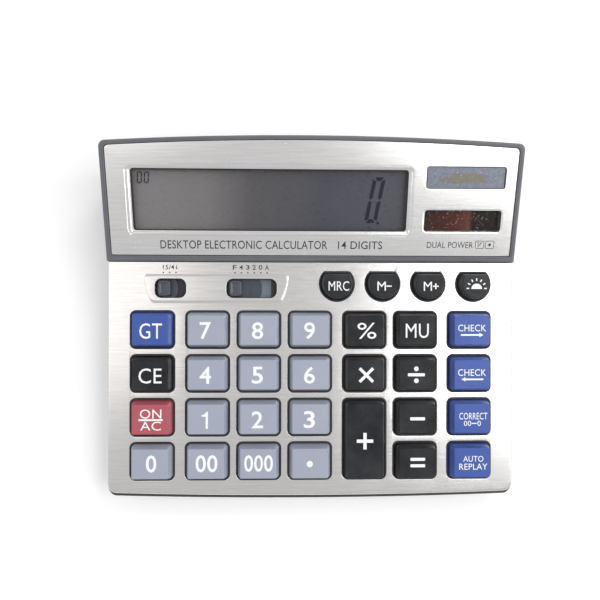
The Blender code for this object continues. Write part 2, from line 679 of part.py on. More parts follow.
def build_keyboard_plate():
    edge = KEY_PARTING - FLANGE_GAP
    low = edge + 2 * PLATE_ROUND
    outline = [(-FAR, key_line(-FAR, low)), (FAR, key_line(FAR, low)), (FAR, key_line(FAR, 0)),
               (-FAR, key_line(-FAR, 0))]
    plate = rounded(case_block("keyboard_plate", 0, outline, ALUMINIUM), PLATE_ROUND, 3)
    below = [(-FAR, -FAR), (FAR, -FAR), (FAR, key_line(FAR, edge)), (-FAR, key_line(-FAR, edge))]
    combine(plate, "DIFFERENCE", side_prism(below))
    inside = [(-FAR, key_line(-FAR, PLATE)), (FAR, key_line(FAR, PLATE)), (FAR, -FAR), (-FAR, -FAR)]
    combine(plate, "DIFFERENCE", case_block("helper", PLATE, inside, floor=0))
    head_face = HEAD_Y - GAP
    combine(plate, "DIFFERENCE", cutter(box((-FAR, head_face, -FAR), (FAR, FAR, FAR))))
    sweep, half_sweep = PAD_SWEEP
    pad = [(PAD_LEFT + sweep, PAD_FRONT), (PAD_RIGHT - sweep, PAD_FRONT), (PAD_RIGHT - half_sweep, SLOT_Y),
           (PAD_RIGHT, PAD_REAR), (PAD_LEFT, PAD_REAR), (PAD_LEFT + half_sweep, SLOT_Y)]
    combine(plate, "UNION", cutter(prism(pad, -PLATE / 2, PAD_RISE), KEYBOARD))
    combine(plate, "DIFFERENCE", cutter(holes(0, -CUT, CUT), KEYBOARD))
    return smooth(combine(plate, "DIFFERENCE", cutter(slots(0, -CUT, CUT), KEYBOARD)))


def cap_mesh(shape):
    """A hollow key cap with a retaining flange and a central stem, about its own centre."""
    body = grown(shape, -SHEET_GAP - COLLAR - KEY_CLEARANCE)
    taper = ROUND_KEY_TAPER if shape[0] == "round" else KEY_TAPER
    foot, skirt = outline_of(grown(body, KEY_FLANGE)), outline_of(body)
    crest = outline_of(grown(body, -taper))
    cap = place("helper", mesh_of(stack([
        (foot, -KEY_BOTTOM), (foot, -KEY_FLANGE_TOP), (skirt, -KEY_FLANGE_TOP),
        (skirt, KEY_STRAIGHT), (crest, KEY_HEIGHT)])))
    hollow = outline_of(grown(body, -KEY_WALL))
    hollow_top = outline_of(grown(body, -taper - KEY_WALL))
    ceiling = KEY_HEIGHT - KEY_WALL
    combine(cap, "DIFFERENCE", cutter(stack([
        (hollow, -KEY_BOTTOM - GAP), (hollow, KEY_STRAIGHT), (hollow_top, ceiling)])))
    half = STEM / 2
    combine(cap, "UNION", cutter(box((-half, -half, -STEM_BOTTOM), (half, half, ceiling + KEY_WALL / 2))))
    mesh = smooth(cap).data
    bpy.data.objects.remove(cap)
    return mesh


def build_keys():
    meshes = {shape: cap_mesh(shape) for shape in (KEY_SHAPE, TALL_SHAPE, ROUND_SHAPE)}
    for name, shape, centre, look in ALL_KEYS:
        place(name, meshes[shape], look, KEYBOARD, (*centre, 0))


def build_knob(name, slot, stops):
    """A switch knob with ridges across its top, on the shutter that slides under the deck."""
    travel = (stops - 1) * STOP_PITCH
    half_x, half_y = KNOB_SIZE[0] / 2, KNOB_SIZE[1] / 2
    shutter_half = slot[1] / 2 + GAP if stops > ROUNDING_STOPS else KNOB_SIZE[0]
    shutter = rounded_rectangle(2 * shutter_half, SLOT_HEIGHT + 2 * SHUTTER_LAP, SHUTTER_RADIUS)
    knob = place(name, mesh_of(prism(shutter, -SHUTTER_UNDER, -SHUTTER_TOP)), DARK_PLASTIC, KEYBOARD,
                 (slot[0] - travel / 2, SLOT_Y, 0))
    grip = rounded_rectangle(2 * half_x, 2 * half_y, KNOB_RADIUS)
    top_x, top_y = half_x - KNOB_DRAFT, half_y - KNOB_DRAFT
    grip_top = rounded_rectangle(2 * top_x, 2 * top_y, KNOB_RADIUS - KNOB_DRAFT)
    body = stack([(grip, -SHUTTER_UNDER + SHUTTER / 2), (grip, -KNOB_RISE), (grip_top, KNOB_RISE)])
    combine(knob, "UNION", cutter(body, KEYBOARD, knob.location))
    grooves = bmesh.new()
    for i in (-1, 0, 1):
        x = i * KNOB_SIZE[0] / 5
        width, depth = KNOB_GROOVE
        box((x - width / 2, -half_y, KNOB_RISE - depth), (x + width / 2, half_y, KNOB_RISE + depth), grooves)
    return smooth(combine(knob, "DIFFERENCE", cutter(grooves, KEYBOARD, knob.location)))


SHEET_HALF = 0.0805
SHEET_FRONT = BOTTOM_ROW - KEY_HOLE[1] / 2 - 0.0005
SHEET_NOTCH = (ROUND_KEY_FIRST - 0.0100, row_y(3) + KEY_HOLE[1] / 2)
SHEET_REAR = ROUND_KEY_Y + 0.0065
BOARD_REAR = SHEET_REAR + 0.0010


def build_membrane():
    """The silicone sheet with one dome under each key's stem, notched round the switches."""
    notch_x, notch_y = SHEET_NOTCH
    outline = [(-SHEET_HALF, SHEET_FRONT), (SHEET_HALF, SHEET_FRONT), (SHEET_HALF, SHEET_REAR),
               (notch_x, SHEET_REAR), (notch_x, notch_y), (-SHEET_HALF, notch_y)]
    sheet = prism(outline, -MEMBRANE_TOP - MEMBRANE, -MEMBRANE_TOP)
    sheet = place("key_membrane", mesh_of(sheet), SILICONE, KEYBOARD)
    domes = bmesh.new()
    wide, narrow = DOME_RADII
    for _, _, centre, _ in ALL_KEYS:
        base, crown = circle(wide, centre, 8), circle(narrow, centre, 8)
        stack([(base, -MEMBRANE_TOP - MEMBRANE / 2), (base, -MEMBRANE_TOP),
               (crown, -MEMBRANE_TOP + DOME_HEIGHT)], domes)
    return smooth(combine(sheet, "UNION", cutter(domes, KEYBOARD)))


def build_board():
    """The circuit board, with both switch bodies on top and the sealed chip underneath."""
    board = box((-SHEET_HALF, SHEET_FRONT, -BOARD_UNDER), (SHEET_HALF, BOARD_REAR, -BOARD_TOP))
    board = place("main_board", mesh_of(board), CIRCUIT_BOARD, KEYBOARD)
    parts = bmesh.new()
    for x, length in (ROUNDING_SLOT, DECIMAL_SLOT):
        box((x - length / 2, SLOT_Y - SLOT_HEIGHT / 2, -BOARD_TOP - BOARD / 2),
            (x + length / 2, SLOT_Y + SLOT_HEIGHT / 2, -SHUTTER_UNDER - GAP), parts)
    crown, base = (circle(radius, CHIP_SPOT, 12) for radius in CHIP_RADII)
    stack([(crown, -BOARD_UNDER - CHIP_DEPTH), (base, -BOARD_UNDER), (base, -BOARD_UNDER + BOARD / 2)], parts)
    return combine(board, "UNION", cutter(parts, KEYBOARD))


# Display pieces


def on_head(name, outline, top, thickness, look):
    return place(name, mesh_of(prism(outline, -top - thickness, -top)), look, HEAD)


def rectangle_on_head(name, middle, size, top, thickness, look, radius=0.0010):
    return on_head(name, rounded_rectangle(*size, radius, middle, 2), top, thickness, look)


def build_display():
    plate = on_head("display_plate", head_outline(SHEET_GAP), PLATE_SINK, PLATE, ALUMINIUM)
    step_cut = opening(WINDOW_STEP, 0, -PLATE_SINK - PLATE / 2, CUT, WINDOW_STEP_CORNER)
    combine(plate, "DIFFERENCE", cutter(step_cut, HEAD))
    through = opening(WINDOW, SHEET_GAP, -CUT, CUT)
    opening(SOLAR, SHEET_GAP, -CUT, CUT, made=through)
    opening(BADGE, SHEET_GAP, -CUT, CUT, made=through)
    smooth(combine(plate, "DIFFERENCE", cutter(through, HEAD)))

    margin = 2 * LENS_MARGIN
    for name, (x, y, width, height) in (("display_window", WINDOW), ("solar_window", SOLAR)):
        size = (width + margin, height + margin)
        rectangle_on_head(name, (x, y), size, BEZEL_SEAT, LENS, CLEAR)
    x, y, width, height = BADGE
    badge_top = PLATE_SINK - GAP  # it stands just proud of the plate and reaches down to its seat
    thick = BEZEL_SEAT - GAP - badge_top
    rectangle_on_head("badge_plate", (x, y), (width, height), badge_top, thick, BADGE_FACE)
    x, y, width, height = SOLAR
    size = (width + margin, height + margin)
    rectangle_on_head("solar_cell", (x, y), size, BEZEL_FLOOR + GAP, SOLAR_CELL, SOLAR_FILM)

    middle = (WINDOW[0], WINDOW[1] - GLASS_DROP)
    top = BEZEL_FLOOR + GAP
    rectangle_on_head("lcd_panel", middle, LCD_GLASS[:2], top, LCD_GLASS[2], LCD)
    top += LCD_GLASS[2] + GAP
    rectangle_on_head("backlight_panel", middle, BACKLIGHT[:2], top, BACKLIGHT[2], LIGHT_GUIDE)
    top += BACKLIGHT[2] + GAP
    holder = rectangle_on_head("lcd_holder", middle, LCD_HOLDER[:2], top, LCD_HOLDER[2], DARK_PLASTIC)
    inner = [side - 2 * LCD_HOLDER_BAND for side in LCD_HOLDER[:2]]
    combine(holder, "DIFFERENCE", cutter(prism(rounded_rectangle(*inner, 0.001, middle, 2), -0.03, 0), HEAD))


def build_ribbon():
    """The flex cable from the back of the display glass down to the board, as a bent strip."""
    glass_under = BEZEL_FLOOR + GAP + LCD_GLASS[2] + 2 * GAP
    glass_low = WINDOW[1] - GLASS_DROP - LCD_GLASS[1] / 2
    bpy.context.view_layer.update()
    to_board = KEYBOARD.matrix_world
    to_head = HEAD.matrix_world
    start = to_head @ Vector((0, glass_low + 0.0014, -glass_under))
    end = to_board @ Vector((0, BOARD_REAR - 0.0005, -BOARD_TOP + 2 * GAP))
    bend_a = to_head @ Vector((0, glass_low + 0.0002, -glass_under))
    bend_b = to_head @ Vector((0, glass_low - 0.0015, -glass_under - 0.0030))
    bend_c = to_board @ Vector((0, BOARD_REAR + 0.0030, -BOARD_TOP + 3 * GAP))
    tail = to_board @ Vector((0, SLOT_Y + SLOT_HEIGHT / 2 + 0.0006, -BOARD_TOP + 2 * GAP))
    made = bmesh.new()
    low = ROUNDING_SLOT[0] + 0.003
    high = SHEET_NOTCH[0] - 0.003
    path = [made.verts.new((low, p.y, p.z)) for p in (start, bend_a, bend_b, bend_c, end, tail)]
    edges = [made.edges.new(pair) for pair in zip(path, path[1:])]
    wide = bmesh.ops.extrude_edge_only(made, edges=edges)["geom"]
    verts = [item for item in wide if isinstance(item, bmesh.types.BMVert)]
    bmesh.ops.translate(made, verts=verts, vec=(high - low, 0, 0))
    strip = place("lcd_ribbon", mesh_of(made), FLEX, None)
    skin = strip.modifiers.new("film", "SOLIDIFY")
    skin.thickness = RIBBON
    skin.offset = 0
    settled(strip)


# Battery, door, screws, feet


def hinge_rod(radius, reach):
    """The door's hinge rod, along the door's bottom edge, reaching past it at both ends."""
    made = bmesh.new()
    length = DOOR_SIZE[0] + 2 * reach
    turn = Matrix.Rotation(math.pi / 2, 4, "Y")
    centre = Matrix.Translation((0, -DOOR_THICKNESS / 2 - GAP / 2, 0))
    bmesh.ops.create_cone(made, cap_ends=True, segments=12, radius1=radius, radius2=radius,
                          depth=length, matrix=centre @ turn)
    return cutter(made, DOOR)


def build_battery_door():
    half = DOOR_SIZE[0] / 2
    face = -GAP / 2
    door = box((-half, face - DOOR_THICKNESS, 0), (half, face, DOOR_SIZE[1]))
    door = place("battery_cover", mesh_of(door), DARK_PLASTIC, DOOR)
    combine(door, "UNION", hinge_rod(DOOR_THICKNESS / 2, 0))
    combine(door, "UNION", hinge_rod(HINGE_RADIUS, HINGE_PIN))
    width, reach, height = LATCH_SIZE
    latch = box((-width / 2, face - DOOR_THICKNESS / 2, DOOR_SIZE[1] - height - GAP),
                (width / 2, reach, DOOR_SIZE[1] - GAP))
    combine(door, "UNION", cutter(latch, DOOR))
    return door


def build_battery():
    nub_radius, nub_length = BATTERY_NUB
    half = BATTERY_LENGTH / 2
    shift = (SPRING_ROOM - CONTACT_ROOM - nub_length) / 2
    at_nub, at_flat = BATTERY_ROUNDING
    profile = [(0, half + nub_length), (nub_radius, half + nub_length), (nub_radius, half),
               (BATTERY_RADIUS - at_nub, half), (BATTERY_RADIUS, half - at_nub),
               (BATTERY_RADIUS, -half + at_flat), (BATTERY_RADIUS - at_flat, -half), (0, -half)]
    turned("battery", profile, BATTERY_JACKET, (BATTERY_X + shift, BATTERY_Y, BATTERY_Z), 20,
           rotation=(0, math.pi / 2, 0))
    wall_x = BATTERY_X + BAY_HALF - GAP
    thick, across, tall = CONTACT_SIZE
    plate = box((wall_x - thick, BATTERY_Y - across / 2, BATTERY_Z - tall / 2),
                (wall_x, BATTERY_Y + across / 2, BATTERY_Z + tall / 2))
    place("battery_contact", mesh_of(plate), SPRING_STEEL)


def build_spring():
    """The conical contact spring at the battery's flat end."""
    wide, narrow = SPRING_RADII
    start = BATTERY_X - BAY_HALF + GAP + SPRING_WIRE
    length = SPRING_ROOM - 2 * GAP - 2 * SPRING_WIRE
    curve = bpy.data.curves.new("battery_spring", "CURVE")
    curve.dimensions = "3D"
    curve.bevel_depth = SPRING_WIRE
    curve.bevel_resolution = 1
    curve.use_fill_caps = True
    line = curve.splines.new("POLY")
    count = SPRING_TURNS * SPRING_STEPS
    line.points.add(count)
    for i in range(count + 1):
        share = i / count
        angle = 2 * math.pi * i / SPRING_STEPS
        radius = wide + (narrow - wide) * share
        line.points[i].co = (start + length * share, BATTERY_Y + radius * math.cos(angle),
                             BATTERY_Z + radius * math.sin(angle), 1)
    spring = bpy.data.objects.new("battery_spring", curve)
    spring.parent = CENTRE
    curve.materials.append(SPRING_STEEL)
    PARTS.objects.link(spring)


def build_screws_and_feet():
    head_radius, head_height = SCREW_HEAD
    radius, length = SCREW_SHANK
    profile = [(0, length), (radius * 0.5, length), (radius, length - SCREW_POINT), (radius, 0),
               (head_radius, 0), (head_radius, -head_height * 0.6), (head_radius * 0.7, -head_height),
               (0, -head_height)]
    for name, (x, y) in zip(SCREW_NAMES, SCREW_SPOTS):
        turned(name, profile, ZINC, (x, y, screw_seat(y) - SHEET_GAP), 12)
    foot_radius, foot_height = FOOT
    profile = [(0, foot_height), (foot_radius, foot_height), (foot_radius, FOOT_CHAMFER),
               (foot_radius - FOOT_CHAMFER, 0), (0, 0)]
    for name, spot in zip(FOOT_NAMES, FEET):
        turned(name, profile, BLACK_RUBBER, (*spot, 0), 20)


build_key_deck()
build_display_housing()
build_lower_case()
build_keyboard_plate()
build_keys()
build_knob("rounding_switch_knob", ROUNDING_SLOT, ROUNDING_STOPS)
build_knob("decimal_switch_knob", DECIMAL_SLOT, DECIMAL_STOPS)
build_membrane()
build_board()
build_display()
build_ribbon()
build_battery_door()
build_battery()
build_spring()
build_screws_and_feet()
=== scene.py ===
import math
import bmesh
import bpy
from mathutils import Euler, Matrix, Vector


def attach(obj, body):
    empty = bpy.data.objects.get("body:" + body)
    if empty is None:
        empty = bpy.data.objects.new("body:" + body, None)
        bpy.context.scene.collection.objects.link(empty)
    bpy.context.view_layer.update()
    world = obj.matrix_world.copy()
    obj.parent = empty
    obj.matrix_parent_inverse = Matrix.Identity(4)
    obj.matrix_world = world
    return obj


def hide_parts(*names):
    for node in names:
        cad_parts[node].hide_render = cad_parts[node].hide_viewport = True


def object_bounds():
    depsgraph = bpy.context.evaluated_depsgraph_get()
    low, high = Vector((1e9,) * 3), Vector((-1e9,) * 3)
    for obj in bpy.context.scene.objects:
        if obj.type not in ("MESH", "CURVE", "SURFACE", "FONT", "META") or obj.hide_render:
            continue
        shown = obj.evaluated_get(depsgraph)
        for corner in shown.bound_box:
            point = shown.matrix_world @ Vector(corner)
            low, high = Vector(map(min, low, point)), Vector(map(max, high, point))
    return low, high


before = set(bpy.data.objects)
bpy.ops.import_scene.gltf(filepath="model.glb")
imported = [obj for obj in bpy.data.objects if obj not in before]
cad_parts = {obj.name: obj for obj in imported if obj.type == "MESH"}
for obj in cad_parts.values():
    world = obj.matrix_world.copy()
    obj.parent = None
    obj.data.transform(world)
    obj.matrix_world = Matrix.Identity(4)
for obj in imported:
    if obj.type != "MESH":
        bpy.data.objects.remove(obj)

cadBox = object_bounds()
print("frame loaded")

mm = 0.001
caseBody = "case"

# Every length below is in millimetres and every angle in degrees
caseShape = {
    "halfWidth": cadBox[1].x / mm,
    "frontEdge": cadBox[0].y / mm,
    "depth": 162.5,
    "frontBow": 1.6,
    "rearBow": 2.7,
    "frontCorner": 4.5,
    "rearCorner": 3.0,
    "frontHeight": 16.5,
    "wall": 2.2,
    "keySlope": 4.5,
    "headSlope": 19.8,
    "headFront": 109.5,
    "headStep": 1.8,
    "headLength": 56.6,
    "headBow": 2.9,
    "parting": 6.5,  # from the key plane down to the line between the case halves
}


def sinCos(degrees):
    return math.sin(math.radians(degrees)), math.cos(math.radians(degrees))


keySin, keyCos = sinCos(caseShape["keySlope"])
headSin, headCos = sinCos(caseShape["headSlope"])
headY = caseShape["headFront"] * keyCos - caseShape["headStep"] * keySin
headZ = caseShape["frontHeight"] + caseShape["headFront"] * keySin + caseShape["headStep"] * keyCos
headParting = (caseShape["headStep"] + caseShape["parting"]) * headCos / keyCos


def inPlan(x, y, z):
    return Vector((x, caseShape["frontEdge"] + y, z))


def onDeck(x, y, z=0.0):
    return inPlan(x, y * keyCos - z * keySin, caseShape["frontHeight"] + y * keySin + z * keyCos)


def onHead(x, y, z=0.0):
    return inPlan(x, headY + y * headCos - z * headSin, headZ + y * headSin + z * headCos)


def deckHeight(y, depth):
    return caseShape["frontHeight"] + y * keySin / keyCos - depth / keyCos


def headHeight(y, depth):
    return headZ + (y - headY) * headSin / headCos - depth / headCos


# Outlines are lists of (x, y), counter-clockwise
def arcPoints(x, y, radius, start, end, steps):
    angles = [math.radians(start + (end - start) * i / steps) for i in range(steps + 1)]
    return [(x + radius * math.cos(a), y + radius * math.sin(a)) for a in angles]


def roundedRect(width, height, radius, x=0.0, y=0.0, steps=8):
    reachX, reachY = width / 2 - radius, height / 2 - radius
    points = []
    for signX, signY, start in ((1, 1, 0), (-1, 1, 90), (-1, -1, 180), (1, -1, 270)):
        points += arcPoints(x + signX * reachX, y + signY * reachY, radius, start, start + 90, steps)
    return points


def grownRect(size, radius, grow, x, y, leastRadius=0.3):
    # A rounded rectangle let out by so much all round, or drawn in if grow is negative
    return roundedRect(size[0] + 2 * grow, size[1] + 2 * grow, max(radius + grow, leastRadius), x, y)


def flatBackedRound(radius, flat, fillet, x, y):
    # A round key cut straight across its back, with the two corners rounded off
    chord = math.degrees(math.asin((flat - fillet) / (radius - fillet)))
    cornerX = (radius - fillet) * math.cos(math.radians(chord))
    points = arcPoints(x + cornerX, y + flat - fillet, fillet, chord, 90, 6)
    points += arcPoints(x - cornerX, y + flat - fillet, fillet, 90, 180 - chord, 6)
    return points + arcPoints(x, y, radius, 180 - chord, 360 + chord, 40)[1:-1]


def bowed(half, front, rear, frontRadius, rearRadius, frontBow=0.0, rearBow=0.0, steps=28, turns=7):
    # A four-sided outline whose front and rear edges bow outwards
    def edge(radius, base, bow):
        reach = half - radius
        return [(reach * (2 * i / steps - 1), base + bow * (reach * (2 * i / steps - 1) / half) ** 2)
                for i in range(steps + 1)]
    frontLine, rearLine = edge(frontRadius, front, frontBow), edge(rearRadius, rear, -rearBow)
    frontY, rearY = frontLine[-1][1] + frontRadius, rearLine[-1][1] - rearRadius
    points = frontLine
    points += arcPoints(half - frontRadius, frontY, frontRadius, -90, 0, turns)[1:]
    points += arcPoints(half - rearRadius, rearY, rearRadius, 0, 90, turns)[:-1]
    points += rearLine[::-1]
    points += arcPoints(-half + rearRadius, rearY, rearRadius, 90, 180, turns)[1:]
    points += arcPoints(-half + frontRadius, frontY, frontRadius, 180, 270, turns)[:-1]
    return points


def ring(outline, place, z=0.0):
    return [place(x, y, z) for x, y in outline]


def stacked(outline, place, profile):
    # A ring for each (grow, height) of a profile, where outline(grow) gives its points
    return [ring(outline(grow), place, z) for grow, z in profile]


def skin(made, rings):
    # Walls between rings that all have as many points
    loops = [[made.verts.new(point) for point in points] for points in rings]
    for low, high in zip(loops, loops[1:]):
        for i in range(len(low)):
            made.faces.new((low[i - 1], low[i], high[i], high[i - 1]))
    return loops


def hoop(made, inner, outer, place, low, high):
    # A flat band between two outlines, closed all round
    loops = skin(made, [ring(inner, place, low), ring(outer, place, low), ring(outer, place, high),
                        ring(inner, place, high)])
    for i in range(len(inner)):
        made.faces.new((loops[3][i - 1], loops[3][i], loops[0][i], loops[0][i - 1]))


def fillBetween(made, loops):
    edges = [made.edges.get((loop[i - 1], loop[i])) for loop in loops for i in range(len(loop))]
    bmesh.ops.triangle_fill(made, use_beauty=True, edges=edges)


def perforate(made, outerRings, holes):
    # A sheet: walls up through the outer rings, a top with holes, and an underside. A hole is a list of rings
    # from the top down, or a pair of such a list and the holes in its own floor.
    outer = skin(made, outerRings)
    undersides = [outer[0]]
    def pierce(border, inner):
        tops = [border]
        for hole in inner:
            rings, floorHoles = hole if isinstance(hole, tuple) else (hole, None)
            loops = skin(made, rings)
            tops.append(loops[0])
            if floorHoles is None:
                undersides.append(loops[-1])
            else:
                pierce(loops[-1], floorHoles)
        fillBetween(made, tops)
    pierce(outer[-1], holes)
    fillBetween(made, undersides)


def piece(name, made, finish, body=caseBody, replaced=(), sharpAngle=35):
    # Turns millimetre work into a smooth-shaded object that rides on a body
    bmesh.ops.recalc_face_normals(made, faces=made.faces)
    bmesh.ops.scale(made, vec=(mm, mm, mm), verts=made.verts)
    mesh = bpy.data.meshes.new(name)
    made.to_mesh(mesh)
    made.free()
    mesh.shade_smooth()
    mesh.set_sharp_from_angle(angle=math.radians(sharpAngle))
    thing = bpy.data.objects.new(name, mesh)
    bpy.context.scene.collection.objects.link(thing)
    mesh.materials.append(finish)
    weighted = thing.modifiers.new("weighted", "WEIGHTED_NORMAL")
    weighted.keep_sharp = True
    if body:
        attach(thing, body)
        if replaced:
            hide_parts(*replaced)
    return thing


def solid(made, rings):
    loops = skin(made, rings)
    made.faces.new(loops[0])
    made.faces.new(loops[-1])
    return made


def block(made, low, high, place=inPlan, edge=0.0):
    # A box between two corners in the coordinates of a plane, with its upright edges rounded
    width, height = high[0] - low[0], high[1] - low[1]
    middleX, middleY = (low[0] + high[0]) / 2, (low[1] + high[1]) / 2
    outline = roundedRect(width, height, max(edge, 0.01), middleX, middleY, 4 if edge else 1)
    if not edge:
        return solid(made, [ring(outline, place, low[2]), ring(outline, place, high[2])])
    inner = roundedRect(width - 2 * edge, height - 2 * edge, 0.01, middleX, middleY, 4)
    between = roundedRect(width - 0.6 * edge, height - 0.6 * edge, 0.7 * edge, middleX, middleY, 4)
    steps = [(inner, low[2]), (between, low[2] + 0.3 * edge), (outline, low[2] + edge)]
    steps += [(outline, high[2] - edge), (between, high[2] - 0.3 * edge), (inner, high[2])]
    return solid(made, [ring(shape, place, z) for shape, z in steps])


def turned(made, profile, place, steps=40):
    # A round piece from its profile of (radius, height), along the axis that place gives its z
    rings = []
    for radius, height in profile:
        around = arcPoints(0, 0, max(radius, 0.01), 0, 360 - 360 / steps, steps - 1)
        rings.append([place(x, y, height) for x, y in around])
    return solid(made, rings)


def combine(thing, operation, made):
    # Boolean with a second solid in millimetres, which is used up
    other = piece("helper", made, None, body=None)
    other.modifiers.clear()
    step = thing.modifiers.new("cut", "BOOLEAN")
    step.operation = operation
    step.object = other
    thing.modifiers.move(len(thing.modifiers) - 1, 0)
    bpy.context.view_layer.update()
    weighted = thing.modifiers["weighted"]
    weighted.show_viewport = False
    evaluated = thing.evaluated_get(bpy.context.evaluated_depsgraph_get())
    mesh = bpy.data.meshes.new_from_object(evaluated)
    thing.modifiers.remove(step)
    weighted.show_viewport = True
    thing.data = mesh
    bpy.data.objects.remove(other)
    mesh.shade_smooth()
    mesh.set_sharp_from_angle(angle=math.radians(35))
    return thing


# Finishes, each with its own small node graph around a Principled shader
class Finish:
    def __init__(self, name, colour, roughness, metallic=0.0):
        self.material = bpy.data.materials.new(name)
        self.material.use_nodes = True
        self.tree = self.material.node_tree
        self.shader = self.tree.nodes["Principled BSDF"]
        self.shader.inputs["Base Color"].default_value = (*colour, 1)
        self.shader.inputs["Roughness"].default_value = roughness
        self.shader.inputs["Metallic"].default_value = metallic
        self.place = self.tree.nodes.new("ShaderNodeTexCoord").outputs["Object"]

    def wire(self, source, node, socket):
        self.tree.links.new(source, node.inputs[socket])

    def node(self, kind, **inputs):
        made = self.tree.nodes.new(kind)
        for socket, value in inputs.items():
            made.inputs[socket.replace("_", " ")].default_value = value
        return made

    def spots(self, scale, detail=4.0, rough=0.55, stretch=(1, 1, 1), shift=(0, 0, 0)):
        # Noise, with its scale in waves to the metre
        mapping = self.node("ShaderNodeMapping", Location=shift, Scale=[scale * s for s in stretch])
        noise = self.node("ShaderNodeTexNoise", Scale=1.0, Detail=detail, Roughness=rough)
        self.wire(self.place, mapping, "Vector")
        self.wire(mapping.outputs[0], noise, "Vector")
        return noise.outputs["Fac"]

    def ramp(self, source, stops, steps="LINEAR"):
        made = self.node("ShaderNodeValToRGB")
        while len(made.color_ramp.elements) < len(stops):
            made.color_ramp.elements.new(0.5)
        made.color_ramp.interpolation = steps
        for element, (position, colour) in zip(made.color_ramp.elements, stops):
            element.position = position
            element.color = (*colour, 1) if isinstance(colour, tuple) else (colour, colour, colour, 1)
        self.wire(source, made, "Fac")
        return made.outputs["Color"]

    def feed(self, made, socket, value):
        # A socket takes a plain value, a colour or what another node gives
        if isinstance(value, bpy.types.NodeSocket):
            self.tree.links.new(value, made.inputs[socket])
        else:
            made.inputs[socket].default_value = (*value, 1) if isinstance(value, tuple) else value

    def blendColours(self, factor, first, second):
        made = self.tree.nodes.new("ShaderNodeMix")
        made.data_type = "RGBA"
        for socket, value in ((0, factor), (6, first), (7, second)):
            self.feed(made, socket, value)
        return made.outputs[2]

    def reckon(self, operation, first, second):
        made = self.tree.nodes.new("ShaderNodeMath")
        made.operation = operation
        self.feed(made, 0, first)
        self.feed(made, 1, second)
        return made.outputs[0]

    def times(self, first, second):
        return self.reckon("MULTIPLY", first, second)

    def acrossCase(self, left, right):
        # From 0 to 1 between two places along the width, in metres
        split = self.node("ShaderNodeSeparateXYZ")
        self.wire(self.place, split, "Vector")
        made = self.node("ShaderNodeMapRange", From_Min=left, From_Max=right)
        self.wire(split.outputs["X"], made, "Value")
        return made.outputs["Result"]

    def span(self, source, low, high):
        made = self.node("ShaderNodeMapRange", From_Min=0.3, From_Max=0.7, To_Min=low, To_Max=high)
        self.wire(source, made, "Value")
        return made.outputs["Result"]

    def colour(self, source):
        self.wire(source, self.shader, "Base Color")

    def roughness(self, source):
        self.wire(source, self.shader, "Roughness")

    def bump(self, source, strength, depth):
        made = self.node("ShaderNodeBump", Strength=strength, Distance=depth * mm)
        last = self.shader.inputs["Normal"].links
        if last:
            self.wire(last[0].from_socket, made, "Normal")
        self.wire(source, made, "Height")
        self.wire(made.outputs["Normal"], self.shader, "Normal")


def brushedAluminium(name, colour, pitted, speckColour=None, worn=(0.50, 0.62)):
    finish = Finish(name, colour, 0.34, 1.0)
    coarse = finish.spots(60, 3.0, 0.6, (1, 26, 26))
    fine = finish.spots(160, 4.0, 0.7, (1, 40, 40), (3, 7, 1))
    cloud = finish.spots(18, 3.0, 0.5, shift=(1, 2, 3))
    darker = tuple(c * 0.93 for c in colour)
    lighter = tuple(min(1.0, c * 1.05) for c in colour)
    streaks = finish.blendColours(finish.span(coarse, 0.0, 1.0), darker, lighter)
    clouded = finish.blendColours(finish.times(finish.span(cloud, 0.0, 1.0), 0.35), streaks, darker)
    grit = finish.spots(900, 2.0, 0.6, shift=(5, 5, 5))
    pits = finish.ramp(grit, [(pitted, 0.0), (pitted + 0.03, 1.0)])
    where = finish.ramp(finish.spots(28, 1.0, 0.5, shift=(9, 1, 4)), [(worn[0], 0.0), (worn[1], 1.0)])
    speck = finish.times(pits, where)
    finish.colour(finish.blendColours(speck, clouded, speckColour or tuple(c * 0.45 for c in colour)))
    finish.roughness(finish.span(fine, 0.20, 0.28))
    finish.bump(fine, 0.12, 0.015)
    finish.bump(speck, 0.5, 0.03)
    return finish.material


def mouldedPlastic(name, colour, roughness=0.45, grain=2600, grainDepth=0.012, wear=0.10):
    finish = Finish(name, colour, roughness)
    cloud = finish.spots(55, 4.0, 0.6)
    lighter = tuple(min(1.0, c * (1 + wear) + 0.012 * wear * 10) for c in colour)
    finish.colour(finish.blendColours(finish.span(cloud, 0.0, 1.0), colour, lighter))
    dull = finish.spots(130, 5.0, 0.65, shift=(2, 6, 3))
    finish.roughness(finish.span(dull, roughness - 0.07, roughness + 0.09))
    finish.bump(finish.spots(grain, 2.0, 0.5), 0.35, grainDepth)
    return finish.material


def metalFinish(name, colour, roughness, scale=700):
    finish = Finish(name, colour, roughness, 1.0)
    cloud = finish.spots(scale, 4.0, 0.6)
    finish.colour(finish.blendColours(finish.span(cloud, 0.0, 1.0), colour, tuple(c * 0.8 for c in colour)))
    finish.roughness(finish.span(cloud, roughness - 0.06, roughness + 0.12))
    finish.bump(cloud, 0.2, 0.01)
    return finish.material


def clearPane(name, tint, alpha):
    finish = Finish(name, tint, 0.06)
    finish.shader.inputs["Alpha"].default_value = alpha
    finish.shader.inputs["Specular IOR Level"].default_value = 0.3
    smear = finish.spots(90, 5.0, 0.7, (1, 2.2, 1))
    finish.roughness(finish.span(smear, 0.05, 0.16))
    finish.bump(finish.spots(40, 2.0, 0.5), 0.05, 0.02)
    return finish.material


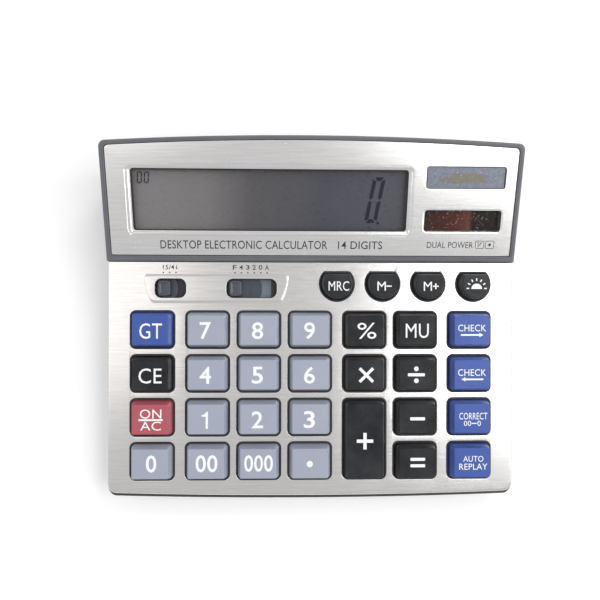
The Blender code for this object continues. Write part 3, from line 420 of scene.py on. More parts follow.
def displayGlass(name, stops):
    # Liquid crystal glass with a painted reflection across it: lighter and warmer at one end, darker and
    # bluer at the other
    finish = Finish(name, stops[0][1], 0.30)
    # Painted reflection, lighter and warmer at the left end and bluer at the right
    shade = finish.ramp(finish.acrossCase(-0.080, 0.043), stops)
    bands = finish.span(finish.spots(60, 3.0, 0.6, (1, 0.25, 1)), 0.0, 0.16)
    finish.colour(finish.blendColours(bands, shade, (0.16, 0.155, 0.16)))
    finish.roughness(finish.span(finish.spots(300, 3.0, 0.5), 0.24, 0.36))
    return finish.material


def solarFilm(name):
    finish = Finish(name, (0.085, 0.022, 0.016), 0.16)
    body = finish.ramp(finish.acrossCase(0.0515, 0.0871), [
        (0.0, (0.045, 0.008, 0.006)), (0.40, (0.085, 0.017, 0.011)), (0.62, (0.155, 0.042, 0.026)),
        (0.66, (0.008, 0.004, 0.005)), (1.0, (0.011, 0.006, 0.006))])
    specks = finish.ramp(finish.spots(1500, 1.0, 0.5), [(0.68, 0.0), (0.705, 1.0)])
    finish.colour(finish.blendColours(specks, body, (0.60, 0.45, 0.36)))
    finish.shader.inputs["Specular IOR Level"].default_value = 0.25
    finish.roughness(finish.span(finish.spots(200, 3.0, 0.5), 0.10, 0.24))
    return finish.material


def wornBadge(name, middle):
    # Satin blue-grey paint, rubbed through to a dull beige patch in the middle
    finish = Finish(name, (0.20, 0.22, 0.27), 0.40, 0.2)
    shift = finish.node("ShaderNodeMapping", Location=[-c * mm for c in middle])
    finish.wire(finish.place, shift, "Vector")
    shape = finish.node("ShaderNodeMapping", Scale=(1 / 0.0125, 1 / 0.0024, 1 / 0.006))
    finish.wire(shift.outputs[0], shape, "Vector")
    reach = finish.tree.nodes.new("ShaderNodeVectorMath")
    reach.operation = "LENGTH"
    finish.wire(shape.outputs[0], reach, 0)
    wander = finish.span(finish.spots(420, 5.0, 0.7, (0.5, 1.4, 1)), -0.45, 0.45)
    patch = finish.ramp(finish.reckon("ADD", reach.outputs["Value"], wander), [(0.80, 1.0), (0.95, 0.0)])
    paint = finish.blendColours(finish.span(finish.spots(700, 3.0, 0.6), 0.0, 1.0),
                                (0.150, 0.168, 0.215), (0.215, 0.235, 0.285))
    specks = finish.ramp(finish.spots(1700, 1.0, 0.5, shift=(3, 3, 3)), [(0.71, 0.0), (0.74, 1.0)])
    rubbed = finish.blendColours(patch, paint, (0.19, 0.172, 0.135))
    finish.colour(finish.blendColours(specks, rubbed, (0.55, 0.57, 0.60)))
    finish.bump(patch, 0.5, 0.02)
    return finish.material


plateMetal = brushedAluminium("keyPlateMetal", (0.80, 0.785, 0.765), 0.74)
headMetal = brushedAluminium("displayPlateMetal", (0.87, 0.86, 0.845), 0.66, (0.97, 0.97, 0.97), (0.54, 0.66))
casePlastic = mouldedPlastic("caseDarkPlastic", (0.125, 0.128, 0.140), 0.42)
lowerPlastic = mouldedPlastic("lowerCasePlastic", (0.060, 0.062, 0.068), 0.55, 1500, 0.03)
collarPlastic = mouldedPlastic("collarPlastic", (0.028, 0.029, 0.032), 0.45)
keyFinishes = {
    "grey": mouldedPlastic("greyKeyPlastic", (0.335, 0.365, 0.445), 0.40, wear=0.05),
    "black": mouldedPlastic("blackKeyPlastic", (0.007, 0.008, 0.011), 0.40, wear=0.25),
    "blue": mouldedPlastic("blueKeyPlastic", (0.030, 0.080, 0.34), 0.38, wear=0.08),
    "red": mouldedPlastic("redKeyPlastic", (0.41, 0.078, 0.100), 0.40, wear=0.08),
}
keyFinishes["black"].node_tree.nodes["Principled BSDF"].inputs["Specular IOR Level"].default_value = 0.22
legendInk = mouldedPlastic("whiteLegendInk", (0.88, 0.89, 0.90), 0.50, 3000, 0.006, 0.03)
plateInk = mouldedPlastic("blackPlateInk", (0.018, 0.018, 0.020), 0.55, 3000, 0.006, 0.2)
crystalInk = mouldedPlastic("crystalSegments", (0.003, 0.004, 0.026), 0.60, 3000, 0.002, 0.1)
crystalInk.node_tree.nodes["Principled BSDF"].inputs["Specular IOR Level"].default_value = 0.08
print("finishes made")

# Camera almost straight above the key plane, a plain pale floor and soft light, strongest from the right
studio = {
    "cameraPlace": (-13.13, 90.35, 276.17),  # in the key plane's own axes
    "cameraTurn": (0.242, -1.568, 0.118),
    "lens": 35.4,
    "world": (0.60, 0.60, 0.61),
    "floorColour": (0.90, 0.90, 0.90),
    "floorGlow": 0.16,
    "floorSize": 3000,
}
# name, place in metres, size, power, colour
lamps = [
    ("rightPanel", (0.78, -0.04, 0.90), (0.70, 1.25), 7.0, (1.0, 1.0, 1.0)),
    ("keyPanel", (0.50, 0.80, 1.00), (0.35, 0.35), 3.0, (1.0, 0.99, 0.98)),
    ("leftFill", (-0.75, 0.00, 0.90), (0.60, 1.20), 2.0, (1.0, 0.96, 0.94)),
]


def keyPlaneFrame():
    move = Matrix.Translation((0, caseShape["frontEdge"] * mm, caseShape["frontHeight"] * mm))
    return move @ Matrix.Rotation(math.radians(caseShape["keySlope"]), 4, "X")


def addCamera():
    data = bpy.data.cameras.new("camera")
    data.lens = studio["lens"]
    data.sensor_width = 36
    camera = bpy.data.objects.new("camera", data)
    place = Matrix.Translation(Vector(studio["cameraPlace"]) * mm)
    aim = Euler([math.radians(angle) for angle in studio["cameraTurn"]]).to_matrix().to_4x4()
    camera.matrix_world = keyPlaneFrame() @ place @ aim
    bpy.context.scene.collection.objects.link(camera)
    bpy.context.scene.camera = camera


def addLamp(name, place, size, power, colour):
    data = bpy.data.lights.new(name, "AREA")
    data.shape = "RECTANGLE"
    data.size, data.size_y = size
    data.energy = power
    data.color = colour
    lamp = bpy.data.objects.new(name, data)
    lamp.location = place
    lamp.rotation_euler = (-Vector(place)).to_track_quat("-Z", "Y").to_euler()
    bpy.context.scene.collection.objects.link(lamp)


def addFloor():
    finish = Finish("paleFloor", studio["floorColour"], 0.85)
    finish.shader.inputs["Emission Color"].default_value = (1, 1, 1, 1)
    finish.shader.inputs["Emission Strength"].default_value = studio["floorGlow"]
    finish.bump(finish.spots(30), 0.02, 0.05)
    low, high = Vector(cadBox[0]) / mm, Vector(cadBox[1]) / mm
    middle, reach = (low + high) / 2, studio["floorSize"] / 2
    made = bmesh.new()
    corners = [(-reach, -reach), (reach, -reach), (reach, reach), (-reach, reach)]
    made.faces.new([made.verts.new((middle.x + x, middle.y + y, low.z)) for x, y in corners])
    piece("floor", made, finish.material, body=None)


addCamera()
for lamp in lamps:
    addLamp(*lamp)
addFloor()
world = bpy.data.worlds.new("studioWorld")
world.use_nodes = True
world.node_tree.nodes["Background"].inputs["Color"].default_value = (*studio["world"], 1)
bpy.context.scene.world = world
bpy.context.scene.view_settings.view_transform = "Standard"
print("camera, lights and floor made")

# Where the keys stand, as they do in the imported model
keyGrid = {
    "firstColumn": -74.15,
    "digitPitch": 23.85,
    "groupPitch": 25.55,
    "bottomRow": 16.4,
    "rowPitch": 20.4,
    "roundFirst": 11.7,
    "roundPitch": 21.45,
    "roundY": 99.2,
}


def columnX(column):
    wide = sum(1 for first in (1, 4, 6) if column >= first)
    return keyGrid["firstColumn"] + wide * keyGrid["groupPitch"] + (column - wide) * keyGrid["digitPitch"]


def rowY(row):
    return keyGrid["bottomRow"] + row * keyGrid["rowPitch"]


# The square keys from the front row back, with the colours of their columns
keyRows = [
    ("0", "00", "000", "point", None, "equals", "auto_replay"),
    ("on_ac", "1", "2", "3", None, "minus", "correct"),
    ("ce", "4", "5", "6", "multiply", "divide", "check_back"),
    ("gt", "7", "8", "9", "percent", "mu", "check_forward"),
]
columnColours = ("grey", "grey", "grey", "grey", "black", "black", "blue")
ownColours = {"on_ac": "red", "ce": "black", "gt": "blue"}
keyPlaces = []
for row, names in enumerate(keyRows):
    for column, name in enumerate(names):
        if name:
            colour = ownColours.get(name, columnColours[column])
            keyPlaces.append((name, "square", columnX(column), rowY(row), colour))
keyPlaces.append(("plus", "tall", columnX(4), rowY(0.5), "black"))
for count, name in enumerate(("mrc", "m_minus", "m_plus", "light")):
    x = keyGrid["roundFirst"] + count * keyGrid["roundPitch"]
    keyPlaces.append((name, "round", x, keyGrid["roundY"], "black"))

keyShape = {
    "hole": (20.9, 17.9),
    "holeCorner": 2.8,
    "roundRadius": 8.4,
    "roundFlat": 5.8,
    "roundFillet": 1.3,
    "inset": 0.95,  # from the plate's hole to the cap
    "height": 5.2,
    "skirt": 0.3,
    "flangeTop": -3.2,
    "flangeBottom": -4.2,
    "flange": 0.8,
    "squareTaper": 1.25,
    "roundTaper": 0.85,
    "edgeRadius": 0.32,
    "sharpAngle": 50,
    "boldness": 0.013,
}


def keyOutline(kind, x, y, grow):
    if kind == "round":
        fillet = max(keyShape["roundFillet"] + grow, 0.35)
        return flatBackedRound(keyShape["roundRadius"] + grow, keyShape["roundFlat"] + grow, fillet, x, y)
    width, height = keyShape["hole"]
    tall = keyGrid["rowPitch"] if kind == "tall" else 0
    return grownRect((width, height + tall), keyShape["holeCorner"], grow, x, y, 0.6)


def keyRings(kind, x, y, profile):
    return stacked(lambda grow: keyOutline(kind, x, y, grow), onDeck, profile)


def keyCap(name, kind, x, y, colour):
    taper = keyShape["roundTaper"] if kind == "round" else keyShape["squareTaper"]
    base, top, edge = -keyShape["inset"], keyShape["height"], keyShape["edgeRadius"]
    lean = math.atan(taper / (top - keyShape["skirt"]))
    centre = base - taper + edge * math.tan(lean) - edge / math.cos(lean)
    flange, shoulder = base + keyShape["flange"], keyShape["flangeTop"]
    profile = [(flange, keyShape["flangeBottom"]), (flange, shoulder), (base, shoulder),
               (base, keyShape["skirt"])]
    for step in range(7):
        angle = lean + (math.pi / 2 - lean) * step / 6
        profile.append((centre + edge * math.cos(angle), top - edge + edge * math.sin(angle)))
    made = solid(bmesh.new(), keyRings(kind, x, y, profile))
    return piece("cap_" + name, made, keyFinishes[colour], "pressed_" + name, ["key_" + name],
                 keyShape["sharpAngle"])


for name, kind, x, y, colour in keyPlaces:
    keyCap(name, kind, x, y, colour)
print("key caps made")

# Switch slots and the low raised pad round them
switchShape = {
    "slotHeight": 8.9,
    "slotCorner": 3.2,
    "slotY": 96.9,
    "rounding": (-65.9, 14.6),  # centre and length
    "decimal": (-28.2, 23.6),
    "padTop": 103.2,
    "padBottom": 90.3,
    "padLeft": -77.9,
    "padRight": -11.3,
    "padSweep": 3.5,
    "padRise": 0.3,
    "padEase": 1.1,  # of the pad's corners
}


def slotOutline(which, grow):
    x, length = switchShape[which]
    size = (length, switchShape["slotHeight"])
    return grownRect(size, switchShape["slotCorner"], grow, x, switchShape["slotY"])


def slotRings(which, profile):
    return stacked(lambda grow: slotOutline(which, grow), onDeck, profile)


def padOutline(growX, growY):
    # Ends that sweep out towards the back, with the corners eased
    low, high = switchShape["padBottom"] - growY, switchShape["padTop"] + growY
    ends = []
    for side, edge in ((1, switchShape["padRight"] + growX), (-1, switchShape["padLeft"] - growX)):
        points = []
        for i in range(17):
            t = i / 16
            ease = switchShape["padEase"] * (1 - math.sqrt(1 - max(0.0, 1 - 10 * min(t, 1 - t)) ** 2))
            sweep = switchShape["padSweep"] * (1 - t) ** 2
            points.append((edge - side * (sweep + ease), low + (high - low) * t))
        ends.append(points)
    return ends[0] + ends[1][::-1]


# The brushed key plate and the dark deck under it
plateShape = {
    "sheet": 0.8,
    "edge": 1.3,
    "flange": 5.7,
    "rearGap": 0.3,
    "holeLip": 0.22,
    "deckTop": 1.1,
    "deckUnder": 2.9,
    "collar": 0.5,
    "collarGap": 0.2,
    "collarRise": 0.25,
    # The lip is a dark strip of painted shade under the front edge of the plate
    "lip": (0.1, 0.9, 5.6, 1.3),  # clearance, reach, and from and to below the plate's face
}


def plateRing(inset, depth, rearInset):
    outline = bowed(caseShape["halfWidth"] - inset, inset, headY - plateShape["rearGap"] - rearInset,
                    max(caseShape["frontCorner"] - inset, 0.5), 0.05, caseShape["frontBow"])
    return [inPlan(x, y, deckHeight(y, depth)) for x, y in outline]


def quarterRound(radius, steps=6):
    # (inset, depth) round an edge, from its side up onto its top
    angles = [math.pi / 2 * i / steps for i in range(steps + 1)]
    return [(radius * (1 - math.cos(a)), radius * (1 - math.sin(a))) for a in angles]


def keyPlate():
    sheet, edge, flange, lip = (plateShape[k] for k in ("sheet", "edge", "flange", "holeLip"))
    rings = [plateRing(sheet, sheet, sheet), plateRing(sheet, flange, sheet), plateRing(0.12, flange, 0),
             plateRing(0, flange - 0.12, 0)]
    rings += [plateRing(inset, depth, 0.02 * inset) for inset, depth in quarterRound(edge)]
    lips = [(lip, 0), (0.3 * lip, -0.3 * lip), (0, -lip), (0, -sheet)]
    holes = [keyRings(kind, x, y, lips) for name, kind, x, y, colour in keyPlaces]
    rise = switchShape["padRise"]
    pad = [(0.35, 0.4, 0), (0.2, 0.2, 0.05), (-0.02, -0.6, rise - 0.05), (-0.2, -1.1, rise)]
    slotLips = [(lip, rise), (0.3 * lip, rise - 0.3 * lip), (0, rise - lip), (0, -sheet)]
    slots = [slotRings(which, slotLips) for which in ("rounding", "decimal")]
    holes.append(([ring(padOutline(growX, growY), onDeck, z) for growX, growY, z in pad], slots))
    made = bmesh.new()
    perforate(made, rings, holes)
    return piece("keyPlate", made, plateMetal, replaced=["keyboard_plate"])


def keyDeck():
    top, under = plateShape["deckTop"], plateShape["deckUnder"]
    side, wall = top, top + caseShape["wall"]
    rings = [plateRing(wall, under, wall), plateRing(wall, caseShape["parting"], wall),
             plateRing(side, caseShape["parting"], side), plateRing(side, top, side)]
    gap, rise = plateShape["collarGap"], plateShape["collarRise"]
    inner = gap + plateShape["collar"]
    collar = [(-gap, -top), (-gap, rise - 0.16), (-gap - 0.05, rise - 0.05), (-gap - 0.16, rise),
              (-inner + 0.14, rise), (-inner + 0.04, rise - 0.05), (-inner, rise - 0.16), (-inner, -under)]
    holes = [keyRings(kind, x, y, collar) for name, kind, x, y, colour in keyPlaces]
    holes += [slotRings(which, [(-gap, -top), (-gap, -under)]) for which in ("rounding", "decimal")]
    made = bmesh.new()
    perforate(made, rings, holes)
    return piece("keyDeck", made, collarPlastic, replaced=["key_deck"])


def frontShadeStrip():
    # A dark strip of painted shade that shows as a line along the front of the plate and fades out round its
    # corners
    gap, reach, low, high = plateShape["lip"]
    bow, radius = caseShape["frontBow"], caseShape["frontCorner"] + gap
    side = caseShape["halfWidth"] + gap - radius
    cornerY = bow * (side / caseShape["halfWidth"]) ** 2 + radius - gap

    def corner(across, first):
        # (x, y, outward x, outward y, share of the reach) round a corner, in steps of 3 degrees
        turns = [math.radians(first + 3 * i) for i in range(20)]
        return [(across + radius * math.cos(a), cornerY + radius * math.sin(a), math.cos(a), math.sin(a),
                 math.cos(a + math.pi / 2) ** 4) for a in turns]

    shares = [k / 20 - 1 for k in range(41)]
    front = [(side * k, bow * (k * side / caseShape["halfWidth"]) ** 2 - gap, 0.0, -1.0, 1.0) for k in shares]
    sections = []
    for x, y, outX, outY, share in corner(-side, -150) + front + corner(side, -87):
        far = 0.05 + reach * share
        profile = [(0, low), (0.2 * far, low), (far, high + 0.6), (far, high), (0, high)]
        sections.append([inPlan(x + outX * out, y + outY * out, deckHeight(y, depth))
                         for out, depth in profile])
    return piece("frontShadeStrip", solid(bmesh.new(), sections), collarPlastic)


keyPlate()
keyDeck()
frontShadeStrip()
print("keyboard plate and deck made")

# The display head
headShape = {
    "rim": (2.4, 2.2, 1.8),  # widths at the front, the sides and the rear
    "rimCorners": (0.7, 2.0),
    "rimEdge": 0.8,
    "groove": (0.80, 0.45, 0.16),  # from and to, out from the rim's inner edge, and depth
    "plateSink": 0.6,
    "plateUnder": 1.4,
    "seat": 1.7,
    "lensUnder": 3.0,
    "floor": 4.0,
    "lensMargin": 2.2,
    "window": (-19.35, 27.9, 124.7, 27.4),  # centre, width and height, like those below
    "windowStep": (-19.0, 27.9, 130.2, 31.8),
    "stepCorner": 2.8,
    "solar": (69.3, 19.0, 35.2, 9.5),
    "badge": (69.4, 38.6, 35.8, 9.4),
    "badgeFace": (69.15, 38.6, 35.3, 9.4),
}


def headPlanRing(inset, depth, frontInset):
    half = caseShape["halfWidth"] - inset
    outline = bowed(half, headY + frontInset, caseShape["depth"] - inset, 0.35,
                    max(caseShape["rearCorner"] - inset, 0.5), 0, caseShape["rearBow"])
    return [inPlan(x, y, headHeight(y, depth)) for x, y in outline]


def headRing(inset, z):
    # Drawn in from the inner edge of the rim; a negative inset lies on the rim
    front, side, rear = headShape["rim"]
    corners = [max(corner - inset, 0.3) for corner in headShape["rimCorners"]]
    half = caseShape["halfWidth"] - side - inset
    back = caseShape["headLength"] - rear - inset
    return ring(bowed(half, front + inset, back, *corners, 0, caseShape["headBow"]), onHead, z)


def headHole(which, profile, corner=1.2):
    # The rings of an opening in the head from (grow, depth) pairs
    x, y, width, height = headShape[which]
    return stacked(lambda grow: grownRect((width, height), corner, grow, x, y), onHead,
                   [(grow, -depth) for grow, depth in profile])


def displayHousing():
    wall, seat, floor = caseShape["wall"], headShape["seat"], headShape["floor"]
    rings = [headPlanRing(wall, floor, wall), headPlanRing(wall, headParting, wall),
             headPlanRing(0.15, headParting, 0.1), headPlanRing(0, headParting - 0.15, 0)]
    rings += [headPlanRing(inset, depth, inset) for inset, depth in quarterRound(headShape["rimEdge"])]
    start, end, deep = headShape["groove"]
    grooved = [(-start, 0), (-start + 0.06, -deep), (-end - 0.06, -deep), (-end, 0)]
    inner = [(-0.2, 0), (-0.05, -0.06), (0, -0.22), (0, -seat)]
    rings += [headRing(inset, z) for inset, z in grooved + inner]
    margin, lens = headShape["lensMargin"], headShape["lensUnder"]
    lensSeat = [(margin, seat), (margin, lens), (0, lens), (0, floor)]
    holes = [headHole(which, lensSeat) for which in ("window", "solar")]
    made = bmesh.new()
    perforate(made, rings, holes)
    return piece("displayHousing", made, casePlastic, replaced=["display_housing"])


def displayPlate():
    sink, under = headShape["plateSink"], headShape["plateUnder"]
    edge = [(0.2, under), (0.2, sink + 0.26), (0.28, sink + 0.08), (0.48, sink)]
    rings = [headRing(inset, -depth) for inset, depth in edge]
    stepFloor, solarFloor = sink + 0.4, sink + 0.12
    step = headHole("windowStep", [
        (0.35, sink), (0.15, sink + 0.16), (-0.05, sink), (-0.9, sink), (-1.15, sink + 0.08),
        (-1.5, stepFloor - 0.06), (-1.75, stepFloor)], headShape["stepCorner"])
    window = headHole("window", [
        (0.45, stepFloor), (0.28, stepFloor + 0.06), (0.2, stepFloor + 0.2), (0.2, under)])
    solarStep = headHole("solar", [
        (0.95, sink), (0.85, sink + 0.02), (0.72, solarFloor - 0.02), (0.6, solarFloor)], 1.4)
    solar = headHole("solar", [
        (0.35, solarFloor), (0.22, solarFloor + 0.1), (0.2, solarFloor + 0.2), (0.2, under)])
    badge = headHole("badge", [(0.45, sink), (0.28, sink + 0.06), (0.2, sink + 0.2), (0.2, under)], 1.0)
    made = bmesh.new()
    perforate(made, rings, [(step, [window]), (solarStep, [solar]), badge])
    return piece("displayPlate", made, headMetal, replaced=["display_plate"])


def headSlab(name, which, grow, top, under, finish, node, edge=0.15):
    x, y, width, height = headShape[which]
    low = (x - width / 2 - grow, y - height / 2 - grow, -under)
    high = (x + width / 2 + grow, y + height / 2 + grow, -top)
    made = block(bmesh.new(), low, high, onHead, edge)
    return piece(name, made, finish, replaced=[node])


displayHousing()
displayPlate()
displayPane = clearPane("displayWindowAcrylic", (0.10, 0.10, 0.11), 0.10)
solarPane = clearPane("solarWindowAcrylic", (0.10, 0.09, 0.08), 0.08)
headSlab("displayWindow", "window", 2.0, 1.7, 2.7, displayPane, "display_window")
headSlab("solarWindow", "solar", 2.0, 1.7, 2.7, solarPane, "solar_window")
headSlab("solarCell", "solar", 2.0, 4.3, 5.4, solarFilm("solarCellFilm"), "solar_cell")
badgePaint = wornBadge("badgePaint", onHead(68.6, 38.3, -0.3))
headSlab("badgePlate", "badgeFace", 0.0, 0.35, 1.35, badgePaint, "badge_plate", 0.25)
# Stops of the painted reflection across the display glass, from its left end to its right
paintedCrystalReflection = [(0.0, (0.29, 0.275, 0.275)), (0.25, (0.235, 0.225, 0.225)), (0.42, (0.105, 0.10, 0.105)),
                 (0.70, (0.060, 0.065, 0.088)), (1.0, (0.085, 0.085, 0.108))]
crystalGlass = displayGlass("crystalGlass", paintedCrystalReflection)
headSlab("displayGlass", "window", 3.4, 4.3, 6.5, crystalGlass, "lcd_panel")


def windowShadowStrip():
    # Black strip of painted shadow between plate and pane, wider where the window looks deeper
    x, y, width, height = headShape["window"]

    def outline(left, right, low, high, corner):
        middleX, middleY = x + (right - left) / 2, y + (high - low) / 2
        return roundedRect(width + left + right, height + low + high, corner, middleX, middleY)

    made = bmesh.new()
    hoop(made, outline(-0.6, -0.1, -0.1, -0.5, 0.7), outline(1, 1, 1, 1, 1.5), onHead, -1.65, -1.45)
    return piece("windowShadowStrip", made, paintedShadowBlack)


def badgeShadowStrip():
    # Dark strip of painted shadow where the badge stops short of its pocket
    x, y, width, height = headShape["badge"]
    low = (x + width / 2 - 0.45, y - height / 2 + 0.1, -1.35)
    high = (x + width / 2 + 0.1, y + height / 2 - 0.1, -0.72)
    return piece("badgeStrip", block(bmesh.new(), low, high, onHead, 0.05), paintedShadowBlack)


# Plain black for the strips of painted shadow round the window and beside the badge
paintedShadowBlack = mouldedPlastic("paintedShadowBlack", (0.008, 0.008, 0.009), 0.60)
windowShadowStrip()
badgeShadowStrip()
print("display head made")

# Printed marks are thin raised shapes. A mark is an outline, a frame of two outlines or fitted words
inkShape = {
    "sunk": 0.02,
    "proud": 0.035,
    "letterSpacing": 1.03,
}


def boxOutline(width, height, x=0.0, y=0.0):
    corners = ((-1, -1), (1, -1), (1, 1), (-1, 1))
    return [(x + signX * width / 2, y + signY * height / 2) for signX, signY in corners]


def crossOutline(reach, half, turn=0.0, x=0.0, y=0.0):
    corner = [(reach, -half), (reach, half), (half, half)]
    points = []
    for quarter in range(4):
        sin, cos = sinCos(turn + 90 * quarter)
        points += [(x + px * cos - py * sin, y + px * sin + py * cos) for px, py in corner]
    return points


def arrowOutline(length, half, head, x, y, side=1):
    # side is 1 for an arrow to the right and -1 for one to the left
    tip, neck, tail = length / 2, length / 2 - 1.9, -length / 2
    points = [(tail, -half), (neck, -half), (neck, -head), (tip, 0), (neck, head), (neck, half), (tail, half)]
    return [(x + side * px, y + py) for px, py in points]


def printOutline(made, outline, place, z):
    low, high = z - inkShape["sunk"], z + inkShape["proud"]
    return solid(made, [ring(outline, place, low), ring(outline, place, high)])


def printWords(made, text, width, height, x, y, place, z, bold=0.0):
    # Letters from the built-in font, fitted to a box
    curve = bpy.data.curves.new("words", "FONT")
    curve.body = text
    curve.extrude = 0.5
    curve.resolution_u = 3
    curve.offset = bold
    curve.space_character = inkShape["letterSpacing"]
    thing = bpy.data.objects.new("words", curve)
    bpy.context.scene.collection.objects.link(thing)
    bpy.context.view_layer.update()
    mesh = bpy.data.meshes.new_from_object(thing.evaluated_get(bpy.context.evaluated_depsgraph_get()))
    bpy.data.objects.remove(thing)
    letters = bmesh.new()
    letters.from_mesh(mesh)
    bmesh.ops.remove_doubles(letters, verts=letters.verts, dist=0.0005)
    lows = [min(v.co[axis] for v in letters.verts) for axis in range(2)]
    highs = [max(v.co[axis] for v in letters.verts) for axis in range(2)]
    for vertex in letters.verts:
        across = (vertex.co.x - lows[0]) / (highs[0] - lows[0]) - 0.5
        up = (vertex.co.y - lows[1]) / (highs[1] - lows[1]) - 0.5
        rise = inkShape["proud"] if vertex.co.z > 0 else -inkShape["sunk"]
        vertex.co = place(x + across * width, y + up * height, z + rise)
    letters.to_mesh(mesh)
    letters.free()
    made.from_mesh(mesh)
    bpy.data.meshes.remove(mesh)


def printMarks(name, marks, place, z, x, y, finish, body=caseBody):
    made = bmesh.new()
    for mark in marks:
        if mark[0] == "words":
            text, width, height, shiftX, shiftY = mark[1:6]
            printWords(made, text, width, height, x + shiftX, y + shiftY, place, z, *mark[6:])
        elif mark[0] == "frame":
            hoop(made, mark[2], mark[1], place, z - inkShape["sunk"], z + inkShape["proud"])
        else:
            printOutline(made, [(x + px, y + py) for px, py in mark], place, z)
    return piece(name, made, finish, body)


def words(text, width, height, x=0.0, y=0.0, *bold):
    return ("words", text, width, height, x, y, *bold)


def disc(radius, x=0.0, y=0.0):
    return arcPoints(x, y, radius, 0, 350, 35)


def risingSun(x, y, radius=2.5, first=3.5, last=4.7, half=0.28):
    # A half disc with seven rays
    marks = [arcPoints(x, y, radius, 0, 180, 20)]
    start = Vector((x, y + 0.25))
    for turn in range(0, 181, 30):
        sin, cos = sinCos(turn)
        along, across = Vector((cos, sin)), Vector((-sin, cos))
        ends = ((first, -half), (last, -half), (last, half), (first, half))
        marks.append([tuple(start + along * far + across * side) for far, side in ends])
    return marks


keyMarks = {
    "0": [words("0", 4.8, 7.9, 0.7, 0.2, keyShape["boldness"])],
    "00": [words("00", 10.0, 7.9, 0.3, 0.2, keyShape["boldness"])],
    "000": [words("000", 13.2, 7.7, 0.2, 0.2, keyShape["boldness"])],
    "point": [disc(1.45, -0.2, -0.2)],
    "1": [[(-0.15, -4.3), (0.90, -4.3), (0.90, 3.5), (0.10, 3.5), (-0.35, 2.75), (-1.00, 2.25), (-1.95, 2.05),
           (-1.95, 1.25), (-0.15, 1.25)]],
    "on_ac": [words("ON", 9.8, 4.2, 0.4, 2.55), boxOutline(11.0, 0.85, 0.4, -0.2),
              words("AC", 9.4, 4.1, 0.4, -2.95)],
    "ce": [words("CE", 10.5, 6.9, 0.1, -0.5)],
    "gt": [words("GT", 10.3, 7.1, 0.3, -0.4)],
    "mu": [words("MU", 10.7, 6.6, 0.0, -0.2)],
    "percent": [words("%", 8.8, 7.4, 0.5, -0.2)],
    "multiply": [crossOutline(4.4, 0.68, 45, 0.3, -0.2)],
    "divide": [roundedRect(7.9, 1.4, 0.35, -0.4, -0.1, 3), disc(1.08, -0.4, 2.65), disc(1.08, -0.4, -2.85)],
    "plus": [crossOutline(3.8, 0.76, 0, -0.3, 0.0)],
    "minus": [roundedRect(6.9, 1.45, 0.3, 0.2, 0.0, 3)],
    "equals": [roundedRect(6.8, 1.4, 0.3, 0.3, 1.7, 3), roundedRect(6.8, 1.4, 0.3, 0.3, -1.25, 3)],
    "check_forward": [words("CHECK", 13.1, 3.1, 0.0, 1.1), arrowOutline(10.5, 0.38, 1.0, 0.0, -2.1)],
    "check_back": [words("CHECK", 13.1, 3.1, 0.0, 0.9), arrowOutline(10.3, 0.38, 1.0, 0.1, -2.25, -1)],
    "correct": [words("CORRECT", 13.1, 3.1, 0.6, 1.15), words("00", 3.4, 2.4, -2.1, -2.2),
                boxOutline(2.4, 0.45, 1.0, -2.2), words("0", 1.6, 2.4, 3.3, -2.2)],
    "auto_replay": [words("AUTO", 9.4, 2.7, 0.6, 1.8), words("REPLAY", 13.1, 2.8, 0.6, -1.8)],
    "mrc": [words("MRC", 9.5, 4.4, 0.5, -1.2)],
    "m_minus": [words("M", 3.9, 4.2, -1.2, -1.2), boxOutline(2.5, 0.6, 2.2, -1.2)],
    "m_plus": [words("M", 3.8, 4.2, -1.2, -1.2), crossOutline(1.35, 0.3, 0, 2.5, -1.2)],
    "light": risingSun(0.1, -2.4),
}
for digit, width in zip("23456789", (5.2, 5.2, 5.2, 5.1, 5.1, 5.2, 5.2, 5.1)):
    keyMarks[digit] = [words(digit, width, 7.8, -0.4, -0.2, keyShape["boldness"])]
for name, kind, x, y, colour in keyPlaces:
    printMarks("legend_" + name, keyMarks[name], onDeck, keyShape["height"], x, y, legendInk,
               "pressed_" + name)
print("key legends printed")

# Marks printed on the two plates
switchMarks = {
    "dotY": 104.2,
    "dot": 0.34,
    "wordsY": 106.7,
    "roundingDots": (-69.24, 2.94, 3),  # first, pitch, count
    "decimalDots": (-36.0, 3.01, 6),
    "decimalLetters": "F4320A",
    "letterSize": (1.75, 2.2),
    "boldness": 0.012,
    "arrowPitch": 6.1,
}


def uprightArrow(x, y, side):
    # side is 1 for an arrow to the back and -1 for one to the front
    half = [(0.16, -1.0), (0.16, 0.3), (0.5, 0.3), (0.0, 1.05)]
    points = half + [(-px, py) for px, py in half[-2::-1]]
    return [(x + px, y + side * py) for px, py in points]


def switchLegends():
    marks = []
    wordsY, bold = switchMarks["wordsY"], switchMarks["boldness"]
    for which in ("roundingDots", "decimalDots"):
        first, pitch, count = switchMarks[which]
        marks += [disc(switchMarks["dot"], first + pitch * i, switchMarks["dotY"]) for i in range(count)]
    for i, letter in enumerate(switchMarks["decimalLetters"]):
        marks.append(words(letter, *switchMarks["letterSize"], first + pitch * i - 0.1, wordsY, bold))
    arrowX, between = switchMarks["roundingDots"][0], switchMarks["arrowPitch"]
    marks += [uprightArrow(arrowX, wordsY, 1), uprightArrow(arrowX + between, wordsY, -1)]
    marks.append(words("5/4", 4.0, 2.1, arrowX + between / 2, wordsY, bold))
    return printMarks("switchLegends", marks, onDeck, 0.0, 0.0, 0.0, plateInk)


